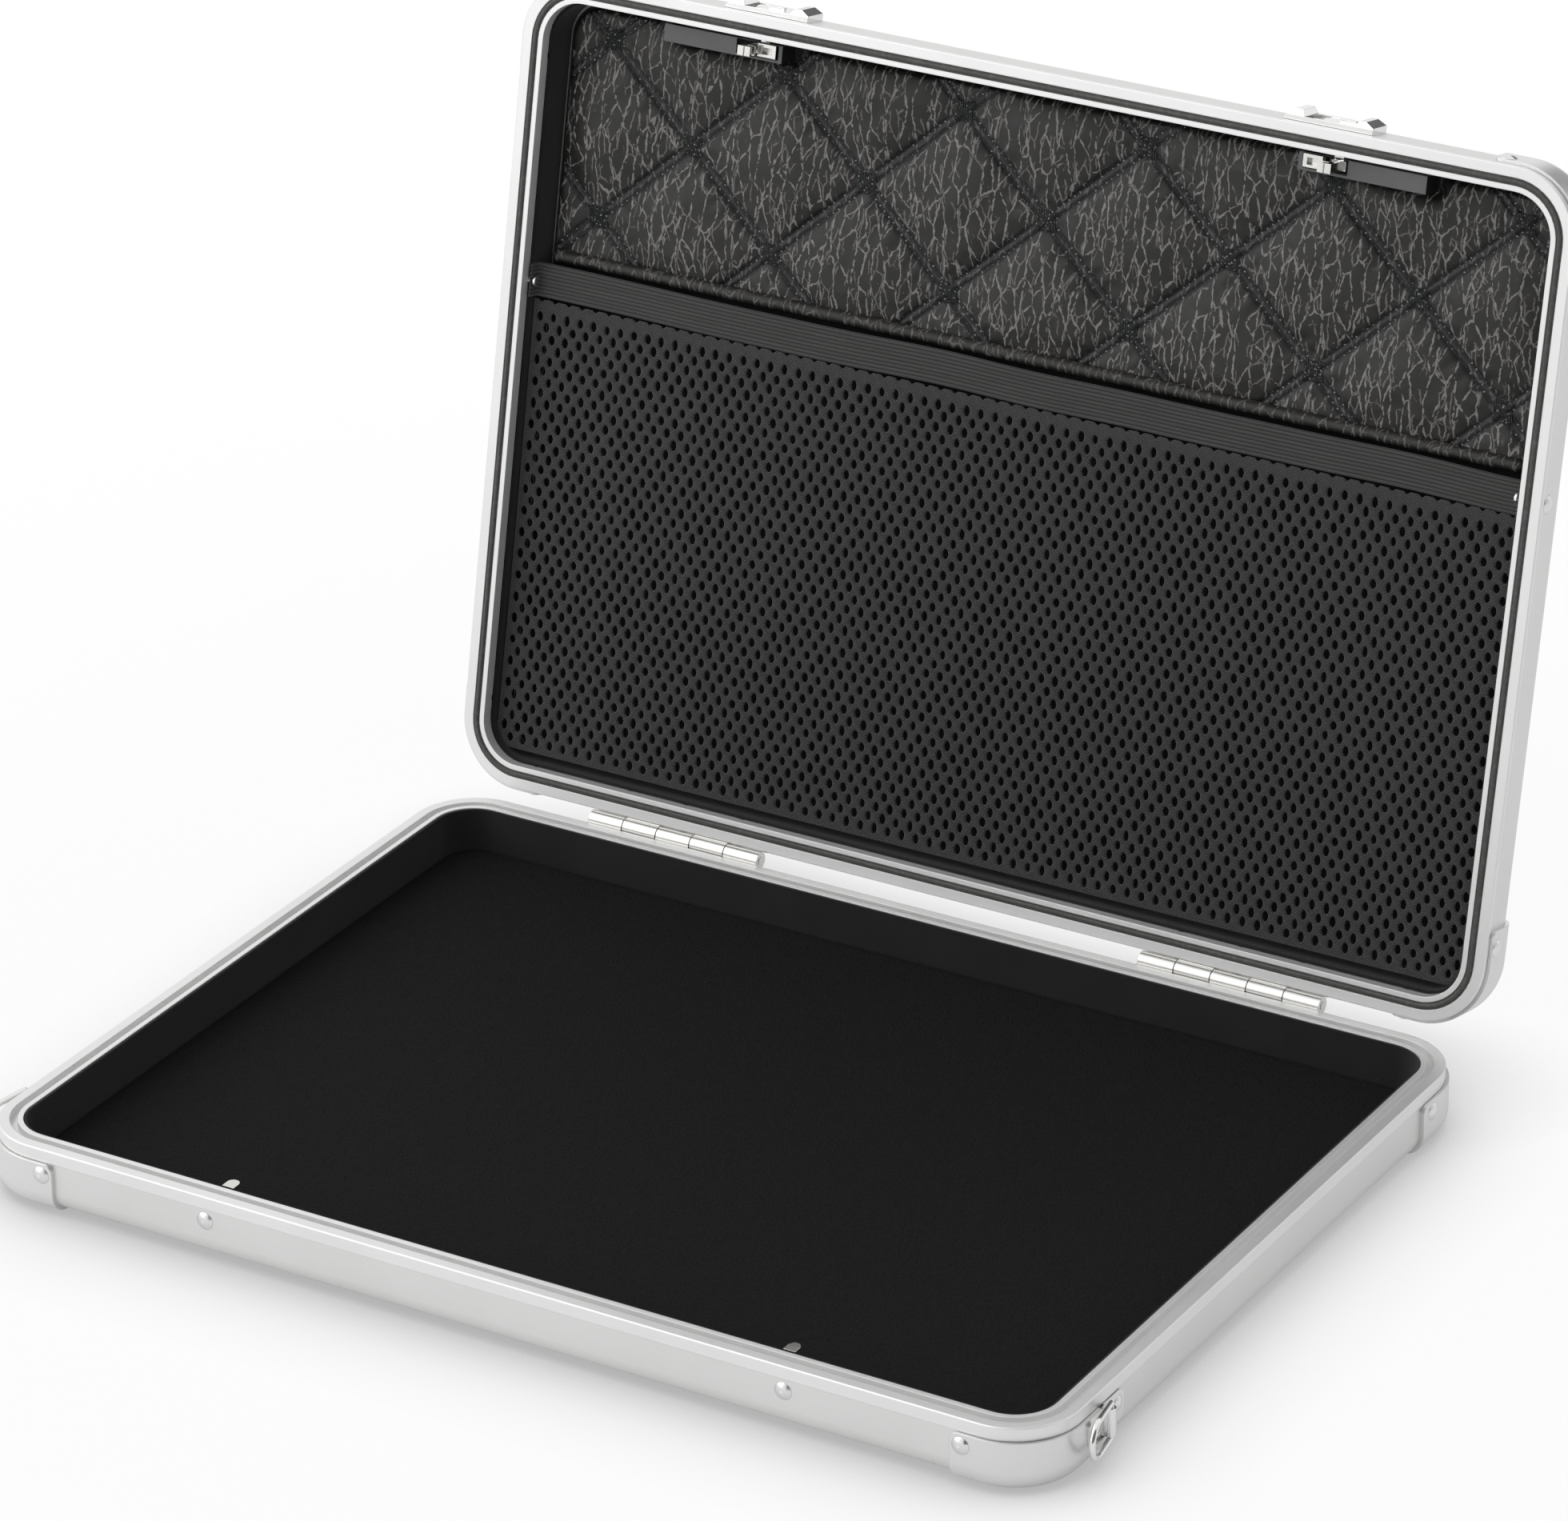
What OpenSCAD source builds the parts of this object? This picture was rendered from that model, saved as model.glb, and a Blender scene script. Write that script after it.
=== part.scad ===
// Slim aluminium laptop hard case, lid open and leaning back on its hinge stops.
// Millimetres. X runs right along the front, Y to the rear, Z up from the feet of the corner caps.

/* [Case] */
// Width over the flat of the side walls
case_w = 348.5; // [300:0.5:420]
// Depth over the flat of the front and rear walls
case_d = 252.0; // [210:0.5:300]
// Outer corner radius in plan
corner_r = 20.0; // [16:0.5:30]
// Height of the base rim above the surface it stands on
rim_z = 20.7; // [19:0.1:30]
// Depth of the lid from its rim to its back
lid_depth = 16.3; // [16:0.1:25]
// Opening angle of the lid as shown
lid_open = 101.8; // [95:0.2:110]

/* [Shells and frames] */
// Sheet thickness of the drawn shells
sheet_t = 1.0; // [0.8:0.1:1.2]
// Outer radius of the rounded bottom and back edges
edge_r = 6.0; // [5:0.5:8]
// Outside height of the base frame above the shell
base_lip = 4.0; // [3:0.1:5]
// Outside height of the lid frame above the shell
lid_lip = 1.6; // [1.4:0.1:2]
// Width over which a rim stands before its groove
rim_w = 3.3; // [3:0.1:4]
// Distance from the outside to the inner edge of the frames
frame_w = 7.2; // [7:0.1:7.4]
// Gap between the two rims when shut
rim_gap = 0.3; // [0.2:0.05:0.5]

/* [Corner caps] */
// Thickness of a corner cap
cap_t = 1.2; // [0.8:0.1:1.4]
// Reach of a cap along the front or rear wall
cap_x = 28.5; // [26:0.5:32]
// Reach of a cap along a side wall
cap_y = 31.0; // [28:0.5:34]
// Radius of a rivet head
rivet_r = 2.7; // [2.2:0.1:3]
// Height of a rivet head
rivet_h = 1.0; // [0.7:0.1:1.2]

/* [Latches] */
// Sideways travel of a latch from open to locked
latch_travel = 3.2; // [2.8:0.1:3.4]
// Distance of a strike's nose from the nearer side of the case
strike_in = 83.0; // [80:0.5:86]

/* [Carrying rings] */
// Angle at which the rings stand off the side walls
ring_angle = 9.5; // [6:0.5:15]
// Thickness of the ring wire
ring_wire = 1.9; // [1.6:0.1:2.1]

/* [Hinges] */
// Distance of each hinge's middle from the nearer side of the case
hinge_in = 79.0; // [65:1:100]
// Radius of a hinge pin
pin_r = 1.2; // [1:0.05:1.3]

/* [Hidden] */
$fn = 48;
eps = 0.01;
hw = case_w / 2;
hd = case_d / 2;
base_depth = rim_z - cap_t;
shell_set = 0.2;
seam = 0.1;
leg_t = 1.2;
leg_in = shell_set + sheet_t;
leg_out = leg_in + leg_t;
floor_u = shell_set + edge_r;
base_groove = 2.2;
lid_groove = 1.5;
web_t = 1.2;
tongue_w = 1.6;
groove_in = frame_w - tongue_w;
fit = 0.05;
shank_r = 1.2;
tail_r = shank_r + 0.6;
tail_h = 0.7;
// rivet rows, measured down from each rim
base_row = 7.8;
lid_row = 4.7;
cap_rx = hw - cap_x + 3.5;
cap_ry = hd - cap_y + 5.5;
strike_x = hw - strike_in;
strike_rx = strike_x + 2.7;
// end of the front cap along the side wall; the ring bracket steps down here
ring_step = cap_y - hd;
ring_ry = ring_step - 5.5;
ring_ry2 = ring_step + 8.0;
// how far drilled holes start inside a wall, and their length
drill_in = 12;
drill_l = 16;
cap_drill = 3;
// linings and padding
lining_u = frame_w + 0.05;
lining_t = 0.85;
pad_u = lining_u + lining_t + 0.3;
pad_z0 = cap_t + sheet_t + 0.1;
pad_z1 = pad_z0 + 5.0;
lid_lining0 = 4.0;
board_t = 1.4;
board_u = 9.0;
board_w1 = lid_depth - sheet_t - 0.1;
board_w0 = board_w1 - board_t;
quilt_u = 10.2;
quilt_end = 163.5;
quilt_w1 = board_w0 - 0.1;
quilt_base = 1.3;
quilt_crown = 3.2;
quilt_soft = 10;
tuft_x = 25.0 - hw;
tuft_v = case_d - 18.5;
pitch_x = 60.6;
pitch_v = 54.5;
cells = 10;
band_v0 = 152.0;
band_h = 10.4;
band_v1 = band_v0 + band_h;
band_w0 = 6.6;
band_t = 1.0;
band_tab = 2.0;
band_gap = 0.1;
band_rivet_v = band_v0 + band_h / 2;
mesh_w0 = 6.0;
mesh_t = 0.6;
mesh_v0 = 10.5;
// latch fittings
latch_cl = 0.4 - strike_x;
latch_cr = strike_x + 3.9;
latch_w0 = 2.3;
latch_w1 = 11.3;
hump_reach = 20;
plate_x0 = -15.8;
plate_x1 = plate_x0 + 28.3;
low_x0 = plate_x0 + 6.5;
low_x1 = plate_x1 - 6.3;
screw_x = [plate_x0 + 4.0, plate_x1 - 1.6];
latch_floor = 0.8;
latch_low = 1.8;
latch_high = 3.6;
chan_w0 = 3.5;
chan_w1 = 9.9;
pocket_x0 = -7.6;
pocket_x1 = 9.4;
slide_len = pocket_x1 - pocket_x0 - latch_travel - 0.2;
stem_x = 3.0;
stem_w0 = 4.9;
stem_w1 = 7.3;
stem_u1 = 10.6;
stem_pos = strike_x + 5.7;
stem_pos_l = -strike_x - 2.0;
cover_x0 = strike_x - 5.6;
cover_x1 = strike_x + 35.1;
cover_u0 = 8.3;
cover_u1 = 13.6;
cover_w0 = 2.0;
cover_w1 = 10.0;
win_x0 = strike_x - 4.3;
win_x1 = strike_x + 10.1;
bolt_x0 = strike_x + 2.7;
bolt_x1 = strike_x + 7.0;
bolt_u0 = 9.4;
bolt_u1 = 12.3;
strike_w = 7.8;
strike_t = 1.0;
arm_z = rim_z - 7.0;
arm_w = 2.6;
arm_t = 1.2;
riser_u = 8.2;
nose_w = 3.8;
nose_z0 = rim_z - strike_t;
nose_u1 = 12.6;
guide_x0 = strike_x - 3.8;
guide_x1 = strike_x + 2.4;
// carrying rings
plate_z0 = rim_z - 13.2;
plate_z1 = rim_z - base_lip - 0.3;
ring_z = rim_z - 8.3;
axis_x = hw + 3.05;
axis_y = ring_step - 0.3;
bracket_t = 0.9;
bracket_lift = 0.02;
bracket_front = ring_step - 9.5;
bracket_rear = ring_step + 11.6;
barrel_r = 1.55;
barrel_h = 8.6;
ring_half = 5.4;
ring_leg = 9.6;
// hinges
hinge_x = hw - hinge_in;
hinge_y = hd + 2.9;
hinge_z = rim_z + rim_gap / 2;
knuckle_r = 2.7;
knuckle_l = 12.0;
hinge_pitch = 20.0;
leaf_t = 1.0;
leaf_gap = 0.02;
leaf_h = 11.5;
lid_leaf_h = 7.0;
lug_h = 5.5;
// depth of the box round the open case: front cap rivets to the rounded edge of the leaning lid
front_y = -hd - cap_t + shell_set - rivet_h;
lean_y = (floor_u - hd - hinge_y) * cos(lid_open) + (rim_gap / 2 + lid_depth - edge_r) * sin(lid_open);
back_y = hinge_y + lean_y + edge_r + cap_t;
mid_y = (front_y + back_y) / 2;

// ---------- placing ----------

// moves the case so that its box, with the lid open, is centred on the origin
module in_place() {
    translate([0, -mid_y, 0]) children();
}

// a half is drawn with its rim at z = 0 and its body below
module on_base() {
    translate([0, 0, rim_z]) children();
}

// closed lid: mirrored half above the rim gap, then swung open about the hinge line
module swing() {
    translate([0, hinge_y, hinge_z]) rotate([-lid_open, 0, 0]) translate([0, -hinge_y, -hinge_z])
        children();
}

module on_lid() {
    swing() translate([0, 0, rim_z + rim_gap]) mirror([0, 0, 1]) children();
}

// ---------- plan shapes and sweeps ----------

// rounded rectangle, inset u from the outside of the case
module plan(u) {
    r = corner_r - u;
    square([case_w - 2 * u, case_d - 2 * corner_r], center = true);
    square([case_w - 2 * corner_r, case_d - 2 * u], center = true);
    for (sx = [-1, 1]) for (sy = [-1, 1])
        translate([sx * (hw - corner_r), sy * (hd - corner_r)]) circle(r);
}

module straight(half_len, dist) {
    translate([-half_len, -dist, 0]) rotate([90, 0, 90]) linear_extrude(2 * half_len) children();
}

module corner_turn() {
    rotate_extrude(angle = 90) translate([corner_r, 0]) mirror([1, 0]) children();
}

// carries a profile (u inward, z up) once round the case
module around() {
    for (a = [0, 180]) rotate([0, 0, a]) straight(hw - corner_r, hd) children();
    for (a = [90, 270]) rotate([0, 0, a]) straight(hd - corner_r, hw) children();
    translate([hw - corner_r, hd - corner_r, 0]) corner_turn() children();
    translate([-hw + corner_r, hd - corner_r, 0]) rotate([0, 0, 90]) corner_turn() children();
    translate([-hw + corner_r, -hd + corner_r, 0]) rotate([0, 0, 180]) corner_turn() children();
    translate([hw - corner_r, -hd + corner_r, 0]) rotate([0, 0, 270]) corner_turn() children();
}

// upright band between two insets
module wall_band(u0, u1, z0, z1) {
    translate([0, 0, z0]) linear_extrude(z1 - z0) difference() {
        plan(u0);
        plan(u1);
    }
}

// ---------- rivets ----------

module dome(r, h) {
    rs = (r * r + h * h) / (2 * h);
    intersection() {
        translate([0, 0, h - rs]) sphere(rs);
        cylinder(r = r, h = h + 1);
    }
}

// drawn along +Z: head from z = 0 outward, shank inward to -grip, then a flat set tail
module rivet(grip, head_r, head_h) {
    dome(head_r, head_h);
    translate([0, 0, -grip - tail_h / 2]) cylinder(r = shank_r, h = grip + tail_h / 2 + 0.1);
    translate([0, 0, -grip - tail_h]) cylinder(r = tail_r, h = tail_h);
}

// turns +Z outward through the wall named by its angle: 0 right, 90 rear, 180 left, 270 front
module out_of_wall(a, along, z, out) {
    dist = (a == 0 || a == 180) ? hw : hd;
    rotate([0, 0, a]) translate([dist + out, along, z]) rotate([0, 90, 0]) children();
}

module cap_holes_front_rear(z) {
    for (s = [-1, 1]) for (a = [90, 270])
        out_of_wall(a, s * cap_rx, z, -drill_in) cylinder(r = shank_r + fit, h = drill_l);
}

module cap_holes_sides(z) {
    for (s = [-1, 1]) for (a = [0, 180])
        out_of_wall(a, s * cap_ry, z, -drill_in) cylinder(r = shank_r + fit, h = drill_l);
}

module hinge_holes(z) {
    for (s = [-1, 1]) for (k = [-1, 0, 1])
        out_of_wall(90, s * hinge_x + k * hinge_pitch, z, -drill_in)
            cylinder(r = shank_r + fit, h = drill_l);
}

module strike_holes() {
    for (s = [-1, 1])
        out_of_wall(270, s * strike_rx, -base_row, -drill_in)
            cylinder(r = shank_r + fit, h = drill_l);
}

// second pair of holes, for the rear rivets of the ring brackets
module bracket_holes() {
    for (s = [-1, 1]) translate([s * hw, ring_ry2, -base_row]) rotate([0, 90, 0])
        cylinder(r = shank_r + fit, h = 2 * drill_in, center = true);
}

// ---------- shells and frames ----------

// drawn shell: upright wall, quarter-round edge, flat floor
module shell(depth, lip) {
    turn = depth - edge_r;
    around() {
        translate([shell_set, -turn]) square([sheet_t, turn - lip - seam]);
        translate([floor_u, -turn]) intersection() {
            difference() {
                circle(edge_r);
                circle(edge_r - sheet_t);
            }
            translate([-edge_r, -edge_r]) square([edge_r, edge_r]);
        }
    }
    translate([0, 0, -depth]) linear_extrude(sheet_t) plan(floor_u);
}

// frame: rim, groove, inner tongue and a leg that runs down behind the shell wall
module frame(lip, groove, tongue_leg, depth) {
    leg_z = -(depth - edge_r);
    web_z = -groove - web_t;
    around() polygon([
        [0, -0.3],
        [0.3, 0],
        [rim_w, 0],
        [rim_w, -groove],
        [groove_in, -groove],
        [groove_in, 0],
        [frame_w, 0],
        [frame_w, -tongue_leg],
        [frame_w - 1.0, -tongue_leg],
        [frame_w - 1.0, web_z],
        [leg_out, web_z],
        [leg_out, leg_z],
        [leg_in, leg_z],
        [leg_in, -lip],
        [0, -lip]
    ]);
}

// pressed corner cap at the rear right, in half coordinates
module cap(depth, top) {
    turn = depth - edge_r;
    lap = 4.6;
    difference() {
        intersection() {
            union() {
                translate([hw - corner_r, hd - corner_r, 0]) corner_turn() cap_profile(turn, top, lap);
                rotate([0, 0, 180]) translate([-hw + corner_r, -hd, 0]) rotate([90, 0, 90])
                    linear_extrude(cap_x - corner_r) cap_profile(turn, top, lap);
                rotate([0, 0, 90]) translate([hd - cap_y, -hw, 0]) rotate([90, 0, 90])
                    linear_extrude(cap_y - corner_r) cap_profile(turn, top, lap);
            }
            // rounded free corners, seen from the rear and from the side
            translate([hw - cap_x, hd + 5, 0]) rotate([90, 0, 0]) linear_extrude(case_d)
                cap_outline(cap_x + 5, depth, top);
            translate([hw + 5, hd - cap_y, 0]) rotate([0, 0, 180]) mirror([0, 1, 0])
                rotate([90, 0, 90]) linear_extrude(case_w) cap_outline(cap_y + 5, depth, top);
        }
        out_of_wall(90, -cap_rx, -cap_row(depth), -cap_drill) cylinder(r = shank_r + fit, h = 2 * cap_drill);
        out_of_wall(0, cap_ry, -cap_row(depth), -cap_drill) cylinder(r = shank_r + fit, h = 2 * cap_drill);
    }
}

function cap_row(depth) = depth == lid_depth ? lid_row : base_row;

module cap_profile(turn, top, lap) {
    translate([shell_set - cap_t, -turn]) square([cap_t, turn - top]);
    translate([floor_u, -turn]) intersection() {
        difference() {
            circle(edge_r + cap_t);
            circle(edge_r);
        }
        translate([-edge_r - cap_t, -edge_r - cap_t]) square([edge_r + cap_t, edge_r + cap_t]);
    }
    translate([floor_u, -turn - edge_r - cap_t]) square([lap, cap_t]);
}

// side view of a cap from its free edge, with a rounded top corner
module cap_outline(len, depth, top) {
    r = 2.5;
    bottom = depth + cap_t + 1;
    difference() {
        translate([0, -bottom]) square([len, bottom - top]);
        translate([-eps, -top - r]) difference() {
            square([r, r + eps]);
            translate([r, 0]) circle(r);
        }
    }
}

// ---------- nodes: base ----------

module base_shell() {
    color([0.79, 0.80, 0.80]) in_place() difference() {
        on_base() shell(base_depth, base_lip);
        on_base() cap_holes_front_rear(-base_row);
        on_base() cap_holes_sides(-base_row);
        on_base() hinge_holes(-base_row);
        on_base() strike_holes();
        on_base() bracket_holes();
    }
}

module base_frame() {
    color([0.83, 0.84, 0.84]) in_place() difference() {
        on_base() frame(base_lip, base_groove, 5.5, base_depth);
        on_base() cap_holes_front_rear(-base_row);
        on_base() cap_holes_sides(-base_row);
        on_base() hinge_holes(-base_row);
        on_base() strike_holes();
        on_base() bracket_holes();
    }
}

module base_cap(sx, sy) {
    color([0.81, 0.82, 0.82]) in_place() on_base() mirror([sx < 0 ? 1 : 0, 0, 0])
        mirror([0, sy < 0 ? 1 : 0, 0]) cap(base_depth, base_lip + 0.2);
}

module base_cap_fl() { base_cap(-1, -1); }
module base_cap_fr() { base_cap(1, -1); }
module base_cap_rl() { base_cap(-1, 1); }
module base_cap_rr() { base_cap(1, 1); }

module base_cap_rivets() {
    out = cap_t - shell_set;
    grip = leg_out + out;
    color([0.85, 0.86, 0.86]) in_place() on_base() {
        for (s = [-1, 1]) for (a = [90, 270])
            out_of_wall(a, s * cap_rx, -base_row, out) rivet(grip, rivet_r, rivet_h);
        out_of_wall(0, cap_ry, -base_row, out) rivet(grip, rivet_r, rivet_h);
        out_of_wall(180, -cap_ry, -base_row, out) rivet(grip, rivet_r, rivet_h);
    }
}

module base_lining() {
    color([0.07, 0.07, 0.075]) in_place() difference() {
        wall_band(lining_u, lining_u + lining_t, pad_z0 + 0.3, rim_z - 0.25);
        for (s = [-1, 1])
            translate([s * (strike_x - nose_w / 2 + arm_w / 2), -hd + lining_u, arm_z + arm_t / 2])
                cube([arm_w + 1.0, 6 * lining_t, 2 * arm_t], center = true);
    }
}

module base_pad() {
    color([0.06, 0.06, 0.065]) in_place() translate([0, 0, pad_z0])
        linear_extrude(pad_z1 - pad_z0) plan(pad_u);
}

// strike on the right; the left one is its mirror image with a round nose
module strike_body(round_nose) {
    nose_l = nose_u1 - riser_u;
    translate([strike_x - nose_w / 2, -hd, 0]) {
        difference() {
            translate([0, leg_out + fit, rim_z - 11.5]) cube([strike_w, strike_t, 5.7]);
            translate([strike_rx - strike_x + nose_w / 2, 0, rim_z - base_row]) rotate([-90, 0, 0])
                cylinder(r = shank_r + fit, h = 8);
        }
        translate([0, leg_out + fit, arm_z]) cube([arm_w, riser_u + strike_t - leg_out - fit, arm_t]);
        translate([0, riser_u, arm_z]) cube([nose_w, strike_t, rim_z - arm_z]);
        translate([0, riser_u, nose_z0]) cube([nose_w, nose_l - nose_w / 2, strike_t]);
        if (round_nose) {
            translate([nose_w / 2, nose_u1 - nose_w / 2, nose_z0]) cylinder(r = nose_w / 2, h = strike_t);
        } else {
            translate([0, riser_u, nose_z0]) linear_extrude(strike_t) polygon([
                [0, 0],
                [nose_w, 0],
                [nose_w, nose_l - 1.5],
                [nose_w - 1.0, nose_l],
                [1.0, nose_l],
                [0, nose_l - 1.5]
            ]);
        }
    }
}

module strike_left() {
    color([0.78, 0.77, 0.75]) in_place() mirror([1, 0, 0]) strike_body(true);
}

module strike_right() {
    color([0.78, 0.77, 0.75]) in_place() strike_body(false);
}

module strike_rivets() {
    color([0.85, 0.86, 0.86]) in_place() on_base() for (s = [-1, 1])
        out_of_wall(270, s * strike_rx, -base_row, -shell_set)
            rivet(leg_out + strike_t + fit - shell_set, rivet_r, rivet_h);
}

// bracket for a carrying ring: a plate joggled over the cap, and a barrel for the ring's straight bar
cap_face = cap_t - shell_set;
plate_out = cap_face + bracket_lift;
plate_in = bracket_lift - shell_set;

module ring_bracket(s) {
    mirror([s < 0 ? 1 : 0, 0, 0]) difference() {
        union() {
            intersection() {
                translate([hw, 0, plate_z0]) linear_extrude(plate_z1 - plate_z0) polygon([
                    [plate_out, bracket_front],
                    [plate_out + bracket_t, bracket_front],
                    [plate_out + bracket_t, ring_step - 0.6],
                    [plate_in + bracket_t, ring_step + 1.8],
                    [plate_in + bracket_t, bracket_rear],
                    [plate_in, bracket_rear],
                    [plate_in, ring_step + 0.6],
                    [plate_out, ring_step + 0.2]
                ]);
                translate([hw - 2, 0, 0]) rotate([90, 0, 90]) linear_extrude(6) plate_outline();
            }
            translate([axis_x, axis_y, ring_z]) cylinder(r = barrel_r, h = barrel_h, center = true);
            translate([hw + plate_out, axis_y - 1.3, ring_z - barrel_h / 2])
                cube([axis_x - hw - plate_out, 2.6, barrel_h]);
        }
        translate([axis_x, axis_y, ring_z])
            cylinder(r = ring_wire / 2 + fit, h = barrel_h + 2, center = true);
        for (y = [ring_ry, ring_ry2]) translate([hw, y, rim_z - base_row]) rotate([0, 90, 0])
            cylinder(r = shank_r + fit, h = 10, center = true);
    }
}

// the plate seen from the side, with rounded ends
module plate_outline() {
    r = 2.4;
    len = bracket_rear - bracket_front;
    translate([bracket_front + r, plate_z0]) square([len - 2 * r, plate_z1 - plate_z0]);
    translate([bracket_front, plate_z0 + r]) square([len, plate_z1 - plate_z0 - 2 * r]);
    for (y = [bracket_front + r, bracket_rear - r]) for (z = [plate_z0 + r, plate_z1 - r])
        translate([y, z]) circle(r);
}

module ring_bracket_left() { color([0.80, 0.80, 0.80]) in_place() ring_bracket(-1); }
module ring_bracket_right() { color([0.80, 0.80, 0.80]) in_place() ring_bracket(1); }

module bracket_rivets() {
    out_f = plate_out + bracket_t;
    out_r = plate_in + bracket_t;
    color([0.85, 0.86, 0.86]) in_place() for (s = [0, 1]) mirror([s, 0, 0]) {
        translate([hw + out_f, ring_ry, rim_z - base_row]) rotate([0, 90, 0])
            rivet(leg_out + out_f, rivet_r - 0.6, rivet_h - 0.4);
        translate([hw + out_r, ring_ry2, rim_z - base_row]) rotate([0, 90, 0])
            rivet(leg_out + out_r, rivet_r - 0.4, rivet_h - 0.2);
    }
}

// D ring: straight bar in the barrel, two legs and a half-round bow
module ring_body() {
    r = ring_wire / 2;
    translate([axis_x, axis_y, ring_z]) rotate([0, 0, ring_angle]) {
        cylinder(r = r, h = 2 * ring_half, center = true);
        for (z = [-ring_half, ring_half]) translate([0, 0, z]) {
            sphere(r);
            rotate([90, 0, 0]) cylinder(r = r, h = ring_leg);
        }
        translate([0, -ring_leg, 0]) rotate([0, -90, 0]) rotate([0, 0, 180])
            rotate_extrude(angle = 180) translate([ring_half, 0]) circle(r);
    }
}

module ring_right() { color([0.82, 0.82, 0.82]) in_place() ring_body(); }
module ring_left() { color([0.82, 0.82, 0.82]) in_place() mirror([1, 0, 0]) ring_body(); }

// ---------- nodes: hinges ----------

// knuckle number k of five, k from -2 to 2
module knuckle(k, bore) {
    translate([k * knuckle_l, hinge_y, hinge_z]) rotate([0, 90, 0]) difference() {
        cylinder(r = knuckle_r, h = knuckle_l - 0.3, center = true);
        cylinder(r = bore, h = knuckle_l + 1, center = true);
    }
}

// even places belong to the base, odd places to the lid
module leaf(h, up, places, others) {
    z0 = up ? hinge_z : hinge_z - h;
    lip = up ? lid_lip : base_lip;
    rim = up ? rim_z + rim_gap : rim_z;
    row = up ? rim + lid_row : rim - base_row;
    far = up ? rim + lip + seam : hinge_z - h;
    far_h = up ? hinge_z + h - far : rim - lip - seam - far;
    difference() {
        union() {
            translate([-2.5 * knuckle_l, hd + leaf_gap, z0]) cube([5 * knuckle_l, leaf_t, h]);
            translate([-2.5 * knuckle_l, hd - shell_set + leaf_gap, far])
                cube([5 * knuckle_l, leaf_t, far_h]);
            for (k = places) knuckle(k, 0.4);
        }
        for (k = others) translate([k * knuckle_l, hd, hinge_z])
            cube([knuckle_l + 0.3, drill_l, 2 * knuckle_r + 0.8], center = true);
        for (k = [-1, 0, 1]) translate([k * hinge_pitch, hd + drill_l / 2, row]) rotate([90, 0, 0])
            cylinder(r = shank_r + fit, h = drill_l);
        translate([0, hinge_y, hinge_z]) rotate([0, 90, 0])
            cylinder(r = pin_r + (up ? fit : leaf_gap), h = 6 * knuckle_l, center = true);
    }
}

module hinge_base(s) {
    color([0.74, 0.74, 0.73]) in_place() translate([s * hinge_x, 0, 0])
        leaf(leaf_h, false, [-2, 0, 2], [-1, 1]);
}

// stop heels hang from the lid knuckles and rest on the base leaf when the lid is fully open
module hinge_lid(s) {
    color([0.74, 0.74, 0.73]) in_place() translate([s * hinge_x, 0, 0]) {
        swing() leaf(lid_leaf_h, true, [-1, 1], [-2, 0, 2]);
        for (k = [-1, 1]) difference() {
            translate([k * knuckle_l - 2, hd + leaf_t + 0.06, hinge_z - lug_h])
                cube([4, 1.1, lug_h - 1.4]);
            translate([k * knuckle_l, hinge_y, hinge_z]) rotate([0, 90, 0])
                cylinder(r = knuckle_r - 0.6, h = knuckle_l, center = true);
        }
    }
}

module hinge_base_left() { hinge_base(-1); }
module hinge_base_right() { hinge_base(1); }
module hinge_lid_left() { hinge_lid(-1); }
module hinge_lid_right() { hinge_lid(1); }

module hinge_pin(s) {
    color([0.66, 0.66, 0.66]) in_place() translate([s * hinge_x, hinge_y, hinge_z]) rotate([0, 90, 0])
        cylinder(r = pin_r, h = 5 * knuckle_l, center = true);
}

module hinge_pin_left() { hinge_pin(-1); }
module hinge_pin_right() { hinge_pin(1); }

module hinge_base_rivets() {
    color([0.85, 0.86, 0.86]) in_place() on_base() for (s = [-1, 1]) for (k = [-1, 0, 1])
        out_of_wall(90, s * hinge_x + k * hinge_pitch, -base_row, leaf_t + leaf_gap)
            rivet(leg_out + leaf_t + leaf_gap, rivet_r - 0.5, rivet_h - 0.2);
}

module hinge_lid_rivets() {
    color([0.85, 0.86, 0.86]) in_place() on_lid() for (s = [-1, 1]) for (k = [-1, 0, 1])
        out_of_wall(90, s * hinge_x + k * hinge_pitch, -lid_row, leaf_t + leaf_gap)
            rivet(leg_out + leaf_t + leaf_gap, rivet_r - 0.9, rivet_h - 0.3);
}

// ---------- nodes: lid ----------

module slot_in_front(x0, x1, w0, w1, u0, u1) {
    translate([x0, -hd + u0, -w1]) cube([x1 - x0, u1 - u0, w1 - w0]);
}

// slots for the latch stems and holes for the latch screws, through the front of the lid
module latch_cuts() {
    slot_in_front(stem_pos - stem_x / 2 - latch_travel - 0.2, stem_pos + stem_x / 2 + 0.2,
        stem_w0 - 0.2, stem_w1 + 0.2, -1, 9);
    slot_in_front(stem_pos_l - stem_x / 2 - 0.2, stem_pos_l + stem_x / 2 + latch_travel + 0.2,
        stem_w0 - 0.2, stem_w1 + 0.2, -1, 9);
    for (x = screw_places()) translate([x, -hd - 1, -screw_w]) rotate([-90, 0, 0])
        cylinder(r = 1.05, h = 5);
}

screw_w = 5.6;
function screw_places() = [for (c = [latch_cl, latch_cr]) for (x = screw_x) c + x];

module band_holes() {
    for (s = [-1, 1]) translate([s * (hw - 6), hd - band_rivet_v, -lid_row]) rotate([0, 90, 0])
        cylinder(r = shank_r + fit, h = drill_l, center = true);
}

module lid_shell() {
    color([0.79, 0.80, 0.80]) in_place() on_lid() difference() {
        shell(lid_depth, lid_lip);
        cap_holes_front_rear(-lid_row);
        cap_holes_sides(-lid_row);
        hinge_holes(-lid_row);
        band_holes();
        latch_cuts();
    }
}

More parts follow.
